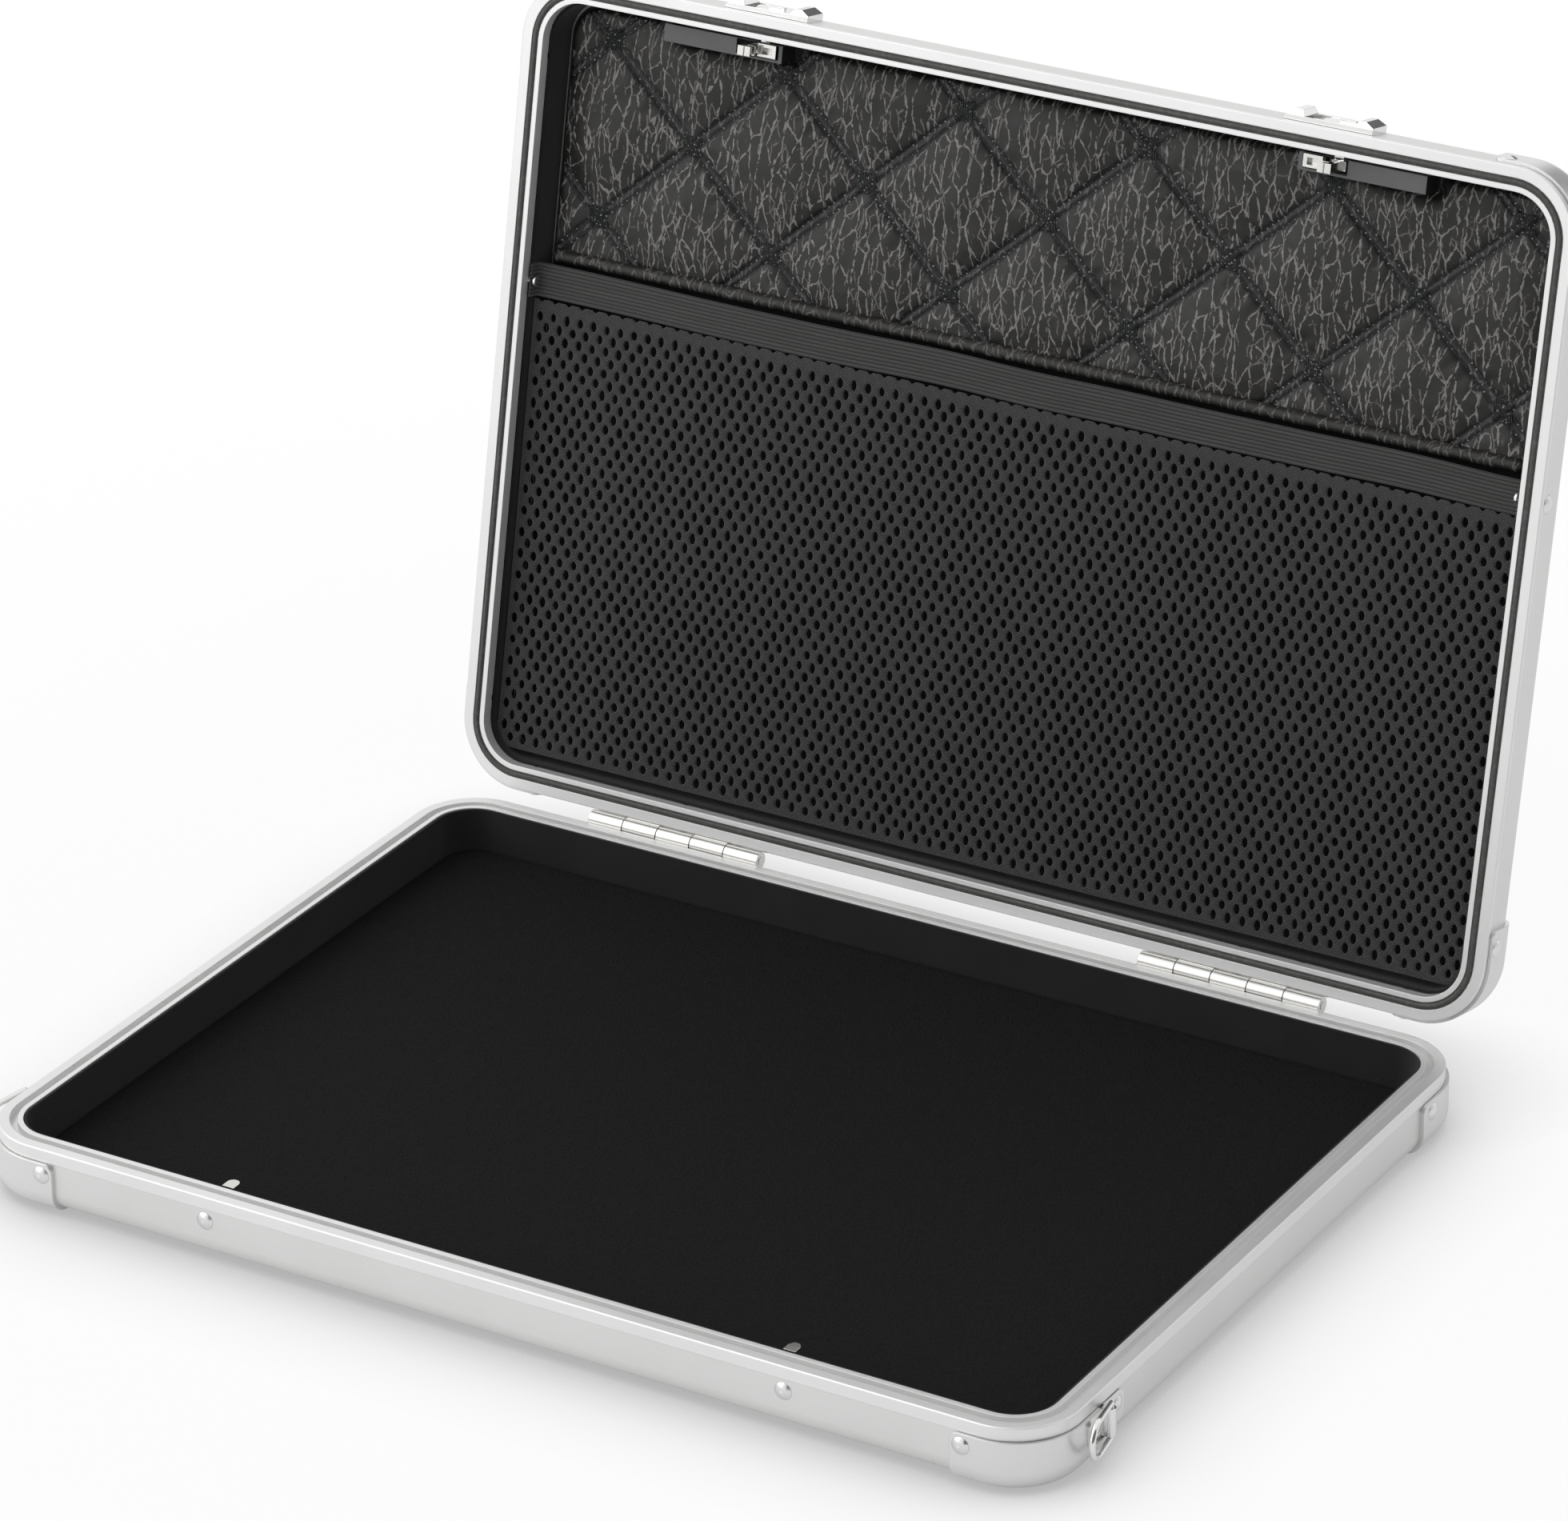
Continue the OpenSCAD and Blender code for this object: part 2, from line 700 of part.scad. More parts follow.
module lid_frame() {
    color([0.84, 0.85, 0.85]) in_place() on_lid() difference() {
        frame(lid_lip, lid_groove, lid_lining0 - 0.1, lid_depth);
        cap_holes_front_rear(-lid_row);
        cap_holes_sides(-lid_row);
        hinge_holes(-lid_row);
        band_holes();
        latch_cuts();
    }
}

// rubber strip with a rounded rib that stands into the groove of the base when shut
module lid_seal() {
    mid = (rim_w + groove_in) / 2;
    color([0.16, 0.16, 0.165]) in_place() on_lid() around() {
        translate([rim_w + 0.08, -lid_groove + 0.05])
            square([groove_in - rim_w - 0.16, lid_groove - 0.25]);
        translate([mid, -0.4]) circle(0.75);
    }
}

module lid_cap(sx, sy) {
    color([0.81, 0.82, 0.82]) in_place() on_lid() mirror([sx < 0 ? 1 : 0, 0, 0])
        mirror([0, sy < 0 ? 1 : 0, 0]) cap(lid_depth, lid_lip + 0.2);
}

module lid_cap_fl() { lid_cap(-1, -1); }
module lid_cap_fr() { lid_cap(1, -1); }
module lid_cap_rl() { lid_cap(-1, 1); }
module lid_cap_rr() { lid_cap(1, 1); }

module lid_cap_rivets() {
    out = cap_t - shell_set;
    grip = leg_out + out;
    color([0.85, 0.86, 0.86]) in_place() on_lid() {
        for (s = [-1, 1]) for (a = [90, 270])
            out_of_wall(a, s * cap_rx, -lid_row, out) rivet(grip, rivet_r, rivet_h);
        for (s = [-1, 1]) for (a = [0, 180])
            out_of_wall(a, s * cap_ry, -lid_row, out) rivet(grip, rivet_r, rivet_h);
    }
}

module lid_lining() {
    color([0.07, 0.07, 0.075]) in_place() on_lid() difference() {
        translate([0, 0, -lid_depth + sheet_t + 0.2])
            linear_extrude(lid_depth - sheet_t - 0.2 - lid_lining0) difference() {
                plan(frame_w + band_gap);
                plan(frame_w + band_gap + lining_t);
            }
        band_holes();
        latch_cuts();
    }
}

module lid_board() {
    color([0.07, 0.07, 0.075]) in_place() on_lid() translate([0, 0, -board_w1])
        linear_extrude(board_t) plan(board_u);
}

// padded upper panel, tufted in diamonds; it stops clear of the latch covers
function wave(t) = sqrt(abs(sin(180 * t)));
function quilt_edge(x, v) =
    sqrt(max(0, min(1, min(hw - quilt_u - abs(x), v - quilt_end, case_d - quilt_u - v) / quilt_soft)));
function quilt_x(i) = tuft_x + i * pitch_x / cells;
function quilt_v(j) = tuft_v - j * pitch_v / cells;
function quilt_h(i, j) = quilt_base
    + quilt_crown * wave((i - j) / cells) * wave((i + j) / cells) * quilt_edge(quilt_x(i), quilt_v(j));

module quilt_mesh() {
    i0 = floor((quilt_u - hw - tuft_x) * cells / pitch_x) - 1;
    i1 = ceil((hw - quilt_u - tuft_x) * cells / pitch_x) + 1;
    j0 = floor((tuft_v - case_d + quilt_u) * cells / pitch_v) - 1;
    j1 = ceil((tuft_v - quilt_end) * cells / pitch_v) + 1;
    nj = j1 - j0 + 1;
    ni = i1 - i0 + 1;
    top = [for (i = [i0 : i1]) for (j = [j0 : j1])
        [quilt_x(i), hd - quilt_v(j), -quilt_w1 + quilt_h(i, j)]];
    rim = concat(
        [for (j = [0 : nj - 2]) j],
        [for (i = [0 : ni - 2]) i * nj + nj - 1],
        [for (j = [nj - 1 : -1 : 1]) (ni - 1) * nj + j],
        [for (i = [ni - 1 : -1 : 1]) i * nj]);
    n = len(rim);
    foot = [for (k = rim) [top[k][0], top[k][1], -quilt_w1]];
    middle = [(quilt_x(i0) + quilt_x(i1)) / 2, hd - (quilt_v(j0) + quilt_v(j1)) / 2, -quilt_w1];
    nt = ni * nj;
    faces = concat(
        [for (i = [0 : ni - 2]) for (j = [0 : nj - 2]) for (f = quilt_cell(i, j, nj,
            (i + i0 + j + j0 + 1) % cells == 0)) f],
        [for (k = [0 : n - 1]) [rim[k], nt + k, rim[(k + 1) % n]]],
        [for (k = [0 : n - 1]) [rim[(k + 1) % n], nt + k, nt + (k + 1) % n]],
        [for (k = [0 : n - 1]) [nt + k, nt + n, nt + (k + 1) % n]]);
    polyhedron(concat(top, foot, [middle]), faces);
}

// two triangles of a grid cell; the cut follows the crease that crosses it
function quilt_cell(i, j, nj, other) =
    let (a = i * nj + j, b = a + nj, c = b + 1, d = a + 1)
    other ? [[a, d, b], [b, d, c]] : [[a, d, c], [a, c, b]];

module lid_quilt() {
    color([0.10, 0.10, 0.105]) in_place() on_lid() difference() {
        intersection() {
            quilt_mesh();
            translate([0, 0, -quilt_w1 - 1]) linear_extrude(quilt_base + quilt_crown + 2) difference() {
                plan(quilt_u);
                translate([-hw, hd - quilt_end]) square([case_w, case_d]);
            }
        }
        for (s = [-1, 1]) translate([s * (cover_x0 + cover_x1) / 2, -hd, -quilt_w1])
            cube([cover_x1 - cover_x0 + 3, 2 * cover_u1 + 3, 20], center = true);
    }
}

// elastic band across the lid, its ends turned in against the side walls
band_reach = hw - frame_w - lining_t - 2 * band_gap;

module lid_band() {
    color([0.08, 0.08, 0.085]) in_place() on_lid() difference() {
        union() {
            translate([-band_reach, hd - band_v1, -band_w0 - band_t])
                cube([2 * band_reach, band_h, band_t]);
            for (s = [0, 1]) mirror([s, 0, 0])
                translate([band_reach - band_t, hd - band_v1, -band_w0 - band_t])
                    cube([band_t, band_h, band_w0 + band_t - band_tab]);
        }
        band_holes();
    }
}

module band_rivets() {
    color([0.85, 0.86, 0.86]) in_place() on_lid() for (a = [0, 1]) mirror([a, 0, 0])
        translate([hw - shell_set, hd - band_rivet_v, -lid_row]) rotate([0, 90, 0])
            rivet(hw - shell_set - band_reach + band_t, rivet_r, rivet_h);
}

// net pocket below the band
module lid_mesh() {
    color([0.05, 0.05, 0.055]) in_place() on_lid() translate([0, 0, -mesh_w0 - mesh_t])
        linear_extrude(mesh_t) intersection() {
            plan(frame_w + 1.4);
            translate([-hw, hd - band_v0 + 0.4]) square([case_w, band_v0 - 0.4 - mesh_v0]);
        }
}

// ---------- nodes: latches ----------

// outward frame on the front of the lid: x along the case, y away from the rim, z out of the wall
module on_front(cx) {
    on_lid() translate([cx, -hd + shell_set, 0]) rotate([90, 0, 0]) mirror([0, 1, 0]) children();
}

module hump(points, bevel) {
    wid = latch_w1 - latch_w0;
    intersection() {
        translate([0, latch_w1, 0]) rotate([90, 0, 0]) linear_extrude(wid) polygon(points);
        translate([-hump_reach, latch_w0, 0]) rotate([90, 0, 90]) linear_extrude(2 * hump_reach) polygon([
            [0, 0],
            [wid, 0],
            [wid, latch_low],
            [wid - bevel, latch_high + 0.1],
            [bevel, latch_high + 0.1],
            [0, latch_low]
        ]);
    }
}

module latch_plate(cx, slot_x0, slot_x1) {
    wid = latch_w1 - latch_w0;
    color([0.80, 0.80, 0.80]) in_place() on_front(cx) difference() {
        union() {
            hump([[plate_x0, 0], [plate_x0, 0.8], [plate_x0 + 2.2, 3.1], [plate_x0 + 3.0, latch_high],
                [low_x0 - 0.9, latch_high], [low_x0, latch_low], [low_x0, 0]], 0.7);
            hump([[low_x1, 0], [low_x1, latch_low], [low_x1 + 1.6, latch_high - 0.1],
                [plate_x1 - 2.6, latch_high], [plate_x1, 2.1], [plate_x1, 0]], 0.7);
            translate([low_x0 - 0.5, latch_w0, 0]) cube([low_x1 - low_x0 + 1, wid, latch_low]);
        }
        translate([pocket_x0, chan_w0, latch_floor])
            cube([pocket_x1 - pocket_x0, chan_w1 - chan_w0, latch_low - latch_floor + 0.1]);
        translate([low_x0, chan_w0, latch_floor]) cube([low_x1 - low_x0, chan_w1 - chan_w0, 4]);
        translate([slot_x0 - cx, stem_w0 - 0.2, -1])
            cube([slot_x1 - slot_x0, stem_w1 - stem_w0 + 0.4, 3]);
        for (x = screw_x) translate([x, screw_w, -1]) cylinder(r = 0.95, h = 3.0);
    }
}

module latch_plate_right() {
    latch_plate(latch_cr, stem_pos - stem_x / 2 - latch_travel - 0.2, stem_pos + stem_x / 2 + 0.2);
}

module latch_plate_left() {
    latch_plate(latch_cl, stem_pos_l - stem_x / 2 - 0.2,
        stem_pos_l + stem_x / 2 + latch_travel + 0.2);
}

module latch_screws() {
    color([0.70, 0.70, 0.70]) in_place() on_lid() for (x = screw_places())
        translate([x, -hd + leg_out, -screw_w]) rotate([-90, 0, 0]) {
            translate([0, 0, -leg_out + shell_set - 1.9]) cylinder(r = 0.93, h = 1.9 + leg_out);
            cylinder(r = 1.9, h = 1.2);
        }
}

// thumb slide with its rib, and the stem that reaches the bolt
module latch_slide(cx, x0, stem, rib_x) {
    z0 = latch_floor + 0.05;
    color([0.82, 0.82, 0.82]) in_place() on_front(cx) {
        translate([x0, chan_w0 + 0.1, z0]) cube([slide_len, chan_w1 - chan_w0 - 0.2, 0.8]);
        translate([rib_x, (chan_w0 + chan_w1) / 2 - 0.7, z0 + 0.7]) cube([5.2, 1.4, 0.85]);
        translate([stem - cx - stem_x / 2, stem_w0, -stem_u1 + shell_set])
            cube([stem_x, stem_w1 - stem_w0, stem_u1 - shell_set + z0 + 0.1]);
    }
}

module latch_slide_right() {
    latch_slide(latch_cr, pocket_x0 + 0.1 + latch_travel, stem_pos, 0.2);
}

module latch_slide_left() {
    latch_slide(latch_cl, pocket_x0 + 0.1, stem_pos_l, 0.2 - latch_travel);
}

// sliding bolt on the right: carriage, neck, and a notched head that takes the strike's nose
module bolt_body(stem) {
    c0 = min(bolt_x1 - 1.1, stem - 2.6);
    c1 = max(bolt_x1, stem + 2.6);
    difference() {
        union() {
            slot_in_front(c0, c1, 4.5, 7.7, bolt_u0, bolt_u1);
            slot_in_front(bolt_x1 - 1.1, bolt_x1, 0.4, 5.0, bolt_u0, bolt_u1);
            slot_in_front(bolt_x0, bolt_x1, -2.7, 0.9, bolt_u0, bolt_u1);
        }
        slot_in_front(bolt_x0 - 1, bolt_x0 + 2.6, -1.6, -0.05, 8, 14);
        slot_in_front(bolt_x0 + 1.9, bolt_x0 + 2.3, -4, -2.3, 8, 14);
        slot_in_front(stem - stem_x / 2 - fit, stem + stem_x / 2 + fit, stem_w0 - fit, stem_w1 + fit,
            8, stem_u1 + 0.1);
    }
}

module latch_bolt_right() {
    color([0.80, 0.79, 0.77]) in_place() on_lid() bolt_body(stem_pos);
}

module latch_bolt_left() {
    color([0.80, 0.79, 0.77]) in_place() on_lid() mirror([1, 0, 0]) bolt_body(-stem_pos_l);
}

// square guide bracket fixed inside the window
module guide_body() {
    difference() {
        slot_in_front(guide_x0, guide_x1, 1.2, 3.9, 8.5, 12.4);
        slot_in_front(guide_x0 + 1.3, guide_x1 - 1.5, 0, 3.0, 9.5, 11.6);
    }
}

module latch_guide_right() {
    color([0.80, 0.79, 0.77]) in_place() on_lid() guide_body();
}

module latch_guide_left() {
    color([0.80, 0.79, 0.77]) in_place() on_lid() mirror([1, 0, 0]) guide_body();
}

// plastic cover over the mechanism, open toward the wall, with a window beside the middle
module cover_body() {
    wall = 0.8;
    difference() {
        slot_in_front(cover_x0, cover_x1, cover_w0, cover_w1, cover_u0, cover_u1);
        slot_in_front(cover_x0 + wall, cover_x1 - wall, cover_w0 + wall, cover_w1 - wall,
            cover_u0 - 1, cover_u1 - wall);
        slot_in_front(win_x0, win_x1, cover_w0 - 1, cover_w0 + 2, cover_u0 + 0.1, cover_u1 - wall);
    }
}

module latch_cover_right() {
    color([0.27, 0.27, 0.275]) in_place() on_lid() cover_body();
}

module latch_cover_left() {
    color([0.27, 0.27, 0.275]) in_place() on_lid() mirror([1, 0, 0]) cover_body();
}

base_shell();
base_frame();
base_cap_fl();
base_cap_fr();
base_cap_rl();
base_cap_rr();
base_cap_rivets();
base_lining();
base_pad();
strike_left();
strike_right();
strike_rivets();
ring_bracket_left();
ring_bracket_right();
bracket_rivets();
ring_left();
ring_right();
hinge_base_left();
hinge_base_right();
hinge_pin_left();
hinge_pin_right();
hinge_base_rivets();
lid_shell();
lid_frame();
lid_seal();
lid_cap_fl();
lid_cap_fr();
lid_cap_rl();
lid_cap_rr();
lid_cap_rivets();
lid_lining();
lid_board();
lid_quilt();
lid_band();
band_rivets();
lid_mesh();
latch_plate_left();
latch_plate_right();
latch_screws();
latch_slide_left();
latch_slide_right();
latch_bolt_left();
latch_bolt_right();
latch_guide_left();
latch_guide_right();
latch_cover_left();
latch_cover_right();
hinge_lid_left();
hinge_lid_right();
hinge_lid_rivets();
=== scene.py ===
import math

import bmesh
import bpy
import numpy as np
from mathutils import Matrix, Vector


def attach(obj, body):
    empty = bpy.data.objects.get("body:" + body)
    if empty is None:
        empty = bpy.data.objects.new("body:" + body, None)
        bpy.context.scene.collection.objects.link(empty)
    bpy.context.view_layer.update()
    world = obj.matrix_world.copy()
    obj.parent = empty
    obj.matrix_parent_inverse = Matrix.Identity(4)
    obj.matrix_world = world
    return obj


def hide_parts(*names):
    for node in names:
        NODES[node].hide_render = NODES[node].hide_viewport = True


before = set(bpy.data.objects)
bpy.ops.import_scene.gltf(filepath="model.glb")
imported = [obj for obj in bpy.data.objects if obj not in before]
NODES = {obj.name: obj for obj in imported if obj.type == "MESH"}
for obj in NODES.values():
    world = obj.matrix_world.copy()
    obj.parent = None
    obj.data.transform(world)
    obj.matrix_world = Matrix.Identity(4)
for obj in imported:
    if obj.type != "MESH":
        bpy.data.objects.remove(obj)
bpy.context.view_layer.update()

# Sizes in millimetres, as in the part's source. x runs right, y to the rear, z up;
# on the lid v runs from the hinge edge and w from the rim towards the back.
MM = 0.001
HW, HD = 174.25, 126.0
CASE_D = 252.0
CORNER = 20.0
RIM_Z = 20.7
RIM_GAP = 0.3
LID_DEPTH = 16.3
LID_OPEN = math.radians(101.8)
HINGE_Y = HD + 2.9
HINGE_Z = RIM_Z + RIM_GAP / 2
MID_Y = 34.5937  # y of the frame's origin, the middle of the open case


def base_point(x, y, z):
    x, y, z = np.broadcast_arrays(np.asarray(x, float), y, z)
    return np.stack([x, y - MID_Y, z], -1) * MM


def lid_point(x, v, w):
    x, v, w = np.broadcast_arrays(np.asarray(x, float), v, w)
    ry = HD - v - HINGE_Y
    rz = RIM_GAP / 2 + w
    y = HINGE_Y + ry * math.cos(LID_OPEN) + rz * math.sin(LID_OPEN) - MID_Y
    z = HINGE_Z - ry * math.sin(LID_OPEN) + rz * math.cos(LID_OPEN)
    return np.stack([x, y, z], -1) * MM


# ---------- camera ----------

def make_camera():
    """The camera of the photograph, from a fit to the case's rims."""
    data = bpy.data.cameras.new("camera")
    data.sensor_width = 36.0
    data.lens = 179.358
    data.clip_start, data.clip_end = 0.05, 60.0
    cam = bpy.data.objects.new("camera", data)
    bpy.context.scene.collection.objects.link(cam)
    right = Vector((0.859421, 0.511146, -0.011147))
    down = Vector((0.215373, -0.381720, -0.898835))
    ahead = Vector((-0.463691, 0.770077, -0.438146))
    turn = Matrix((right, -down, -ahead)).transposed()
    cam.matrix_world = Matrix.Translation(Vector((1.02906, -1.70882, 1.08263))) @ turn.to_4x4()
    bpy.context.scene.camera = cam


make_camera()
bpy.context.scene.view_settings.view_transform = "Standard"


# ---------- node helper ----------

UV_MM = 10.0  # one unit of the "sheet" UV map of a soft piece, in mm


class Nodes:
    """A node tree under construction: put() links a socket or sets a value."""

    def __init__(self, tree):
        self.tree = tree
        tree.nodes.clear()

    def add(self, kind, **settings):
        node = self.tree.nodes.new("ShaderNode" + kind)
        for key, value in settings.items():
            setattr(node, key, value)
        return node

    def put(self, socket, value):
        if isinstance(value, bpy.types.NodeSocket):
            self.tree.links.new(value, socket)
        elif isinstance(value, (tuple, list)) and len(value) == 3 and socket.type == "RGBA":
            socket.default_value = (*value, 1.0)
        else:
            socket.default_value = value

    def math(self, operation, a, b=0.0):
        node = self.add("Math", operation=operation)
        for socket, value in zip(node.inputs, (a, b)):
            self.put(socket, value)
        return node.outputs[0]

    def plus(self, a, b):
        return self.math("ADD", a, b)

    def minus(self, a, b):
        return self.math("SUBTRACT", a, b)

    def times(self, a, b):
        return self.math("MULTIPLY", a, b)

    def most(self, a, b):
        return self.math("MAXIMUM", a, b)

    def absolute(self, a):
        return self.math("ABSOLUTE", a)

    def step(self, value, low, high, out_low=0.0, out_high=1.0, kind="SMOOTHSTEP"):
        node = self.add("MapRange", interpolation_type=kind)
        for key, x in (("Value", value), ("From Min", low), ("From Max", high),
                       ("To Min", out_low), ("To Max", out_high)):
            self.put(node.inputs[key], x)
        return node.outputs[0]

    def mix(self, factor, a, b):
        node = self.add("Mix", data_type="RGBA")
        self.put(node.inputs[0], factor)
        self.put(node.inputs[6], a)
        self.put(node.inputs[7], b)
        return node.outputs[2]

    def place(self):
        return self.add("TexCoord").outputs["Object"]

    def uv(self, name):
        return self.add("UVMap", uv_map=name).outputs[0]

    def split(self, vector):
        node = self.add("SeparateXYZ")
        self.put(node.inputs[0], vector)
        return node.outputs

    def join(self, x, y=0.0, z=0.0):
        node = self.add("CombineXYZ")
        for socket, value in zip(node.inputs, (x, y, z)):
            self.put(socket, value)
        return node.outputs[0]

    def scaled(self, vector, size):
        node = self.add("Mapping")
        self.put(node.inputs["Vector"], vector)
        node.inputs["Scale"].default_value = size
        return node.outputs[0]

    def noise(self, vector, scale, detail=2.0, roughness=0.5):
        node = self.add("TexNoise")
        self.put(node.inputs["Vector"], vector)
        node.inputs["Scale"].default_value = scale
        node.inputs["Detail"].default_value = detail
        node.inputs["Roughness"].default_value = roughness
        return node.outputs[0]

    def cells(self, vector, scale, feature="DISTANCE_TO_EDGE"):
        node = self.add("TexVoronoi", feature=feature)
        self.put(node.inputs["Vector"], vector)
        node.inputs["Scale"].default_value = scale
        return node.outputs["Distance"]

    def shifted(self, vector, offset):
        node = self.add("VectorMath", operation="ADD")
        self.put(node.inputs[0], vector)
        node.inputs[1].default_value = offset
        return node.outputs[0]

    def cracks(self, place, scale, step=0.004):
        """Distance from the cell borders in mm, of even width however the cells are
        stretched, and how upright the nearest border is, 0 to 1."""
        here = self.cells(self.scaled(place, scale), 1.0)
        slope = []
        for offset in ((step, 0, 0), (0, step, 0)):
            there = self.cells(self.scaled(self.shifted(place, offset), scale), 1.0)
            slope.append(self.math("DIVIDE", self.minus(there, here), step))
        squares = self.plus(self.times(slope[0], slope[0]), self.times(slope[1], slope[1]))
        steep = self.most(self.math("SQRT", squares), 0.01)
        gap = self.times(self.math("DIVIDE", here, steep), UV_MM)
        return gap, self.math("DIVIDE", self.absolute(slope[0]), steep)

    def bump(self, height, distance, strength=1.0, normal=None):
        node = self.add("Bump")
        node.inputs["Distance"].default_value = distance
        node.inputs["Strength"].default_value = strength
        self.put(node.inputs["Height"], height)
        if normal is not None:
            self.put(node.inputs["Normal"], normal)
        return node.outputs[0]

    def bevel(self, radius):
        node = self.add("Bevel", samples=4)
        node.inputs["Radius"].default_value = radius
        return node.outputs[0]


class Shader(Nodes):
    """A material on the principled shader, whose inputs set() fills."""

    def __init__(self, name):
        self.material = bpy.data.materials.new(name)
        self.material.use_nodes = True
        super().__init__(self.material.node_tree)
        self.out = self.add("OutputMaterial")
        self.bsdf = self.add("BsdfPrincipled")
        self.tree.links.new(self.bsdf.outputs[0], self.out.inputs["Surface"])

    def set(self, **values):
        for key, value in values.items():
            self.put(self.bsdf.inputs[key.replace("_", " ")], value)


# ---------- materials ----------

def shaded(colour, share):
    return tuple(c * share for c in colour)


def aluminium(name, tone, rough, edge=0.00025, streak=0.0, metal=0.78):
    """Satin anodised aluminium; edge is the radius of worn edges in m, streak its drawn lines."""
    s = Shader(name)
    place = s.place()
    cloud = s.noise(place, 26.0, 3.0)
    grain = s.noise(place, 5200.0, 2.0, 0.6)
    fine = s.noise(place, 900.0, 2.0)
    low = shaded(tone, 0.972)
    s.set(Base_Color=s.mix(s.step(cloud, 0.35, 0.65), low, tone), Metallic=metal,
          Roughness=s.step(fine, 0.3, 0.7, rough - 0.03, rough + 0.03))
    height = s.plus(s.times(grain, 0.6), s.times(fine, 0.4))
    if streak:
        lines = s.noise(s.scaled(place, (6.0, 6.0, 2600.0)), 1.0, 2.0)
        height = s.plus(height, s.times(lines, streak))
    s.set(Normal=s.bump(height, 0.00003, 0.5, s.bevel(edge)))
    return s.material


def bright_metal(name, tone, rough):
    """Plated or polished metal with smears and hairline scratches."""
    s = Shader(name)
    place = s.place()
    smear = s.noise(place, 130.0, 3.0)
    hair = s.noise(s.scaled(place, (900.0, 900.0, 9000.0)), 1.0, 2.0)
    s.set(Base_Color=s.mix(smear, shaded(tone, 0.95), tone), Metallic=1.0,
          Roughness=s.step(smear, 0.3, 0.75, rough * 0.8, rough * 1.25))
    s.set(Normal=s.bump(hair, 0.00001, 0.35, s.bevel(0.00018)))
    return s.material


def rubber():
    """Dusty black rubber of the lid's seal."""
    s = Shader("seal_rubber")
    place = s.place()
    dust = s.noise(place, 700.0, 3.0)
    cloud = s.noise(place, 60.0, 2.0)
    s.set(Base_Color=s.mix(s.step(dust, 0.45, 0.8), (0.062, 0.060, 0.056), (0.105, 0.102, 0.096)),
          Roughness=s.step(cloud, 0.3, 0.7, 0.5, 0.66))
    s.set(Normal=s.bump(dust, 0.00004, 0.5))
    return s.material


def flock():
    """Black flocking with a fine pile and a few pale flecks of lint."""
    colour = (0.0092, 0.0087, 0.0082)
    s = Shader("flock")
    place = s.place()
    pile = s.noise(place, 3600.0, 2.0, 0.7)
    cloud = s.noise(place, 55.0, 3.0)
    lint = s.cells(s.scaled(place, (210.0, 210.0, 120.0)), 1.0, "F1")
    fibre = s.noise(place, 420.0, 1.0)
    speck = s.times(s.step(lint, 0.05, 0.02), s.step(fibre, 0.62, 0.68))
    body = s.mix(s.step(pile, 0.35, 0.7), shaded(colour, 0.55), shaded(colour, 1.35))
    body = s.mix(s.step(cloud, 0.4, 0.7, 0.0, 0.35), body, shaded(colour, 1.8))
    lint_colour = (0.16, 0.155, 0.15)
    s.set(Base_Color=s.mix(s.times(speck, 0.6), body, lint_colour), Roughness=0.95)
    s.set(Specular_IOR_Level=0.2)
    s.set(Sheen_Weight=0.12)
    s.set(Sheen_Roughness=0.6)
    s.set(Normal=s.bump(pile, 0.0002, 0.9))
    return s.material


def foam():
    """Open-pored black foam, with painted shade in the pores."""
    s = Shader("foam")
    place = s.place()
    pores = s.cells(place, 1500.0, "F1")
    big = s.noise(place, 90.0, 3.0)
    # painted shade: the colour darkens towards the middle of each pore
    pore_shade, face = (0.003, 0.003, 0.0031), (0.0110, 0.0108, 0.0108)
    s.set(Base_Color=s.mix(s.step(pores, 0.1, 0.5), pore_shade, face), Roughness=0.92)
    s.set(Specular_IOR_Level=0.14)
    height = s.plus(pores, s.times(big, 1.6))
    s.set(Normal=s.bump(height, 0.0003, 0.7))
    return s.material


def plastic():
    """Matte grey plastic of the latch covers, with painted shade on their ends."""
    s = Shader("cover_plastic")
    place = s.place()
    pimple = s.noise(place, 2600.0, 2.0, 0.6)
    cloud = s.noise(place, 70.0, 3.0)
    grey = s.mix(s.step(cloud, 0.3, 0.7), (0.090, 0.090, 0.092), (0.116, 0.116, 0.118))
    # painted shade: the end faces, turned along x, are painted near black for the shade on them,
    # inside a pale cut edge
    end = s.absolute(s.split(s.add("NewGeometry").outputs["True Normal"])[0])
    s.set(Base_Color=s.mix(s.step(end, 0.6, 0.8), grey, (0.006, 0.006, 0.006)),
          Roughness=s.step(cloud, 0.3, 0.7, 0.52, 0.6))
    s.set(Normal=s.bump(pimple, 0.00005, 0.6, s.bevel(0.0003)))
    return s.material


SEAM_L = 40.52  # distance between neighbouring seams, mm
ALONG_L = 40.75  # length of a seam between two crossings, mm
ROW = 1.15  # distance of each row of stitches from the middle of a seam, mm
STITCH_L = 2.2  # length of a stitch, mm


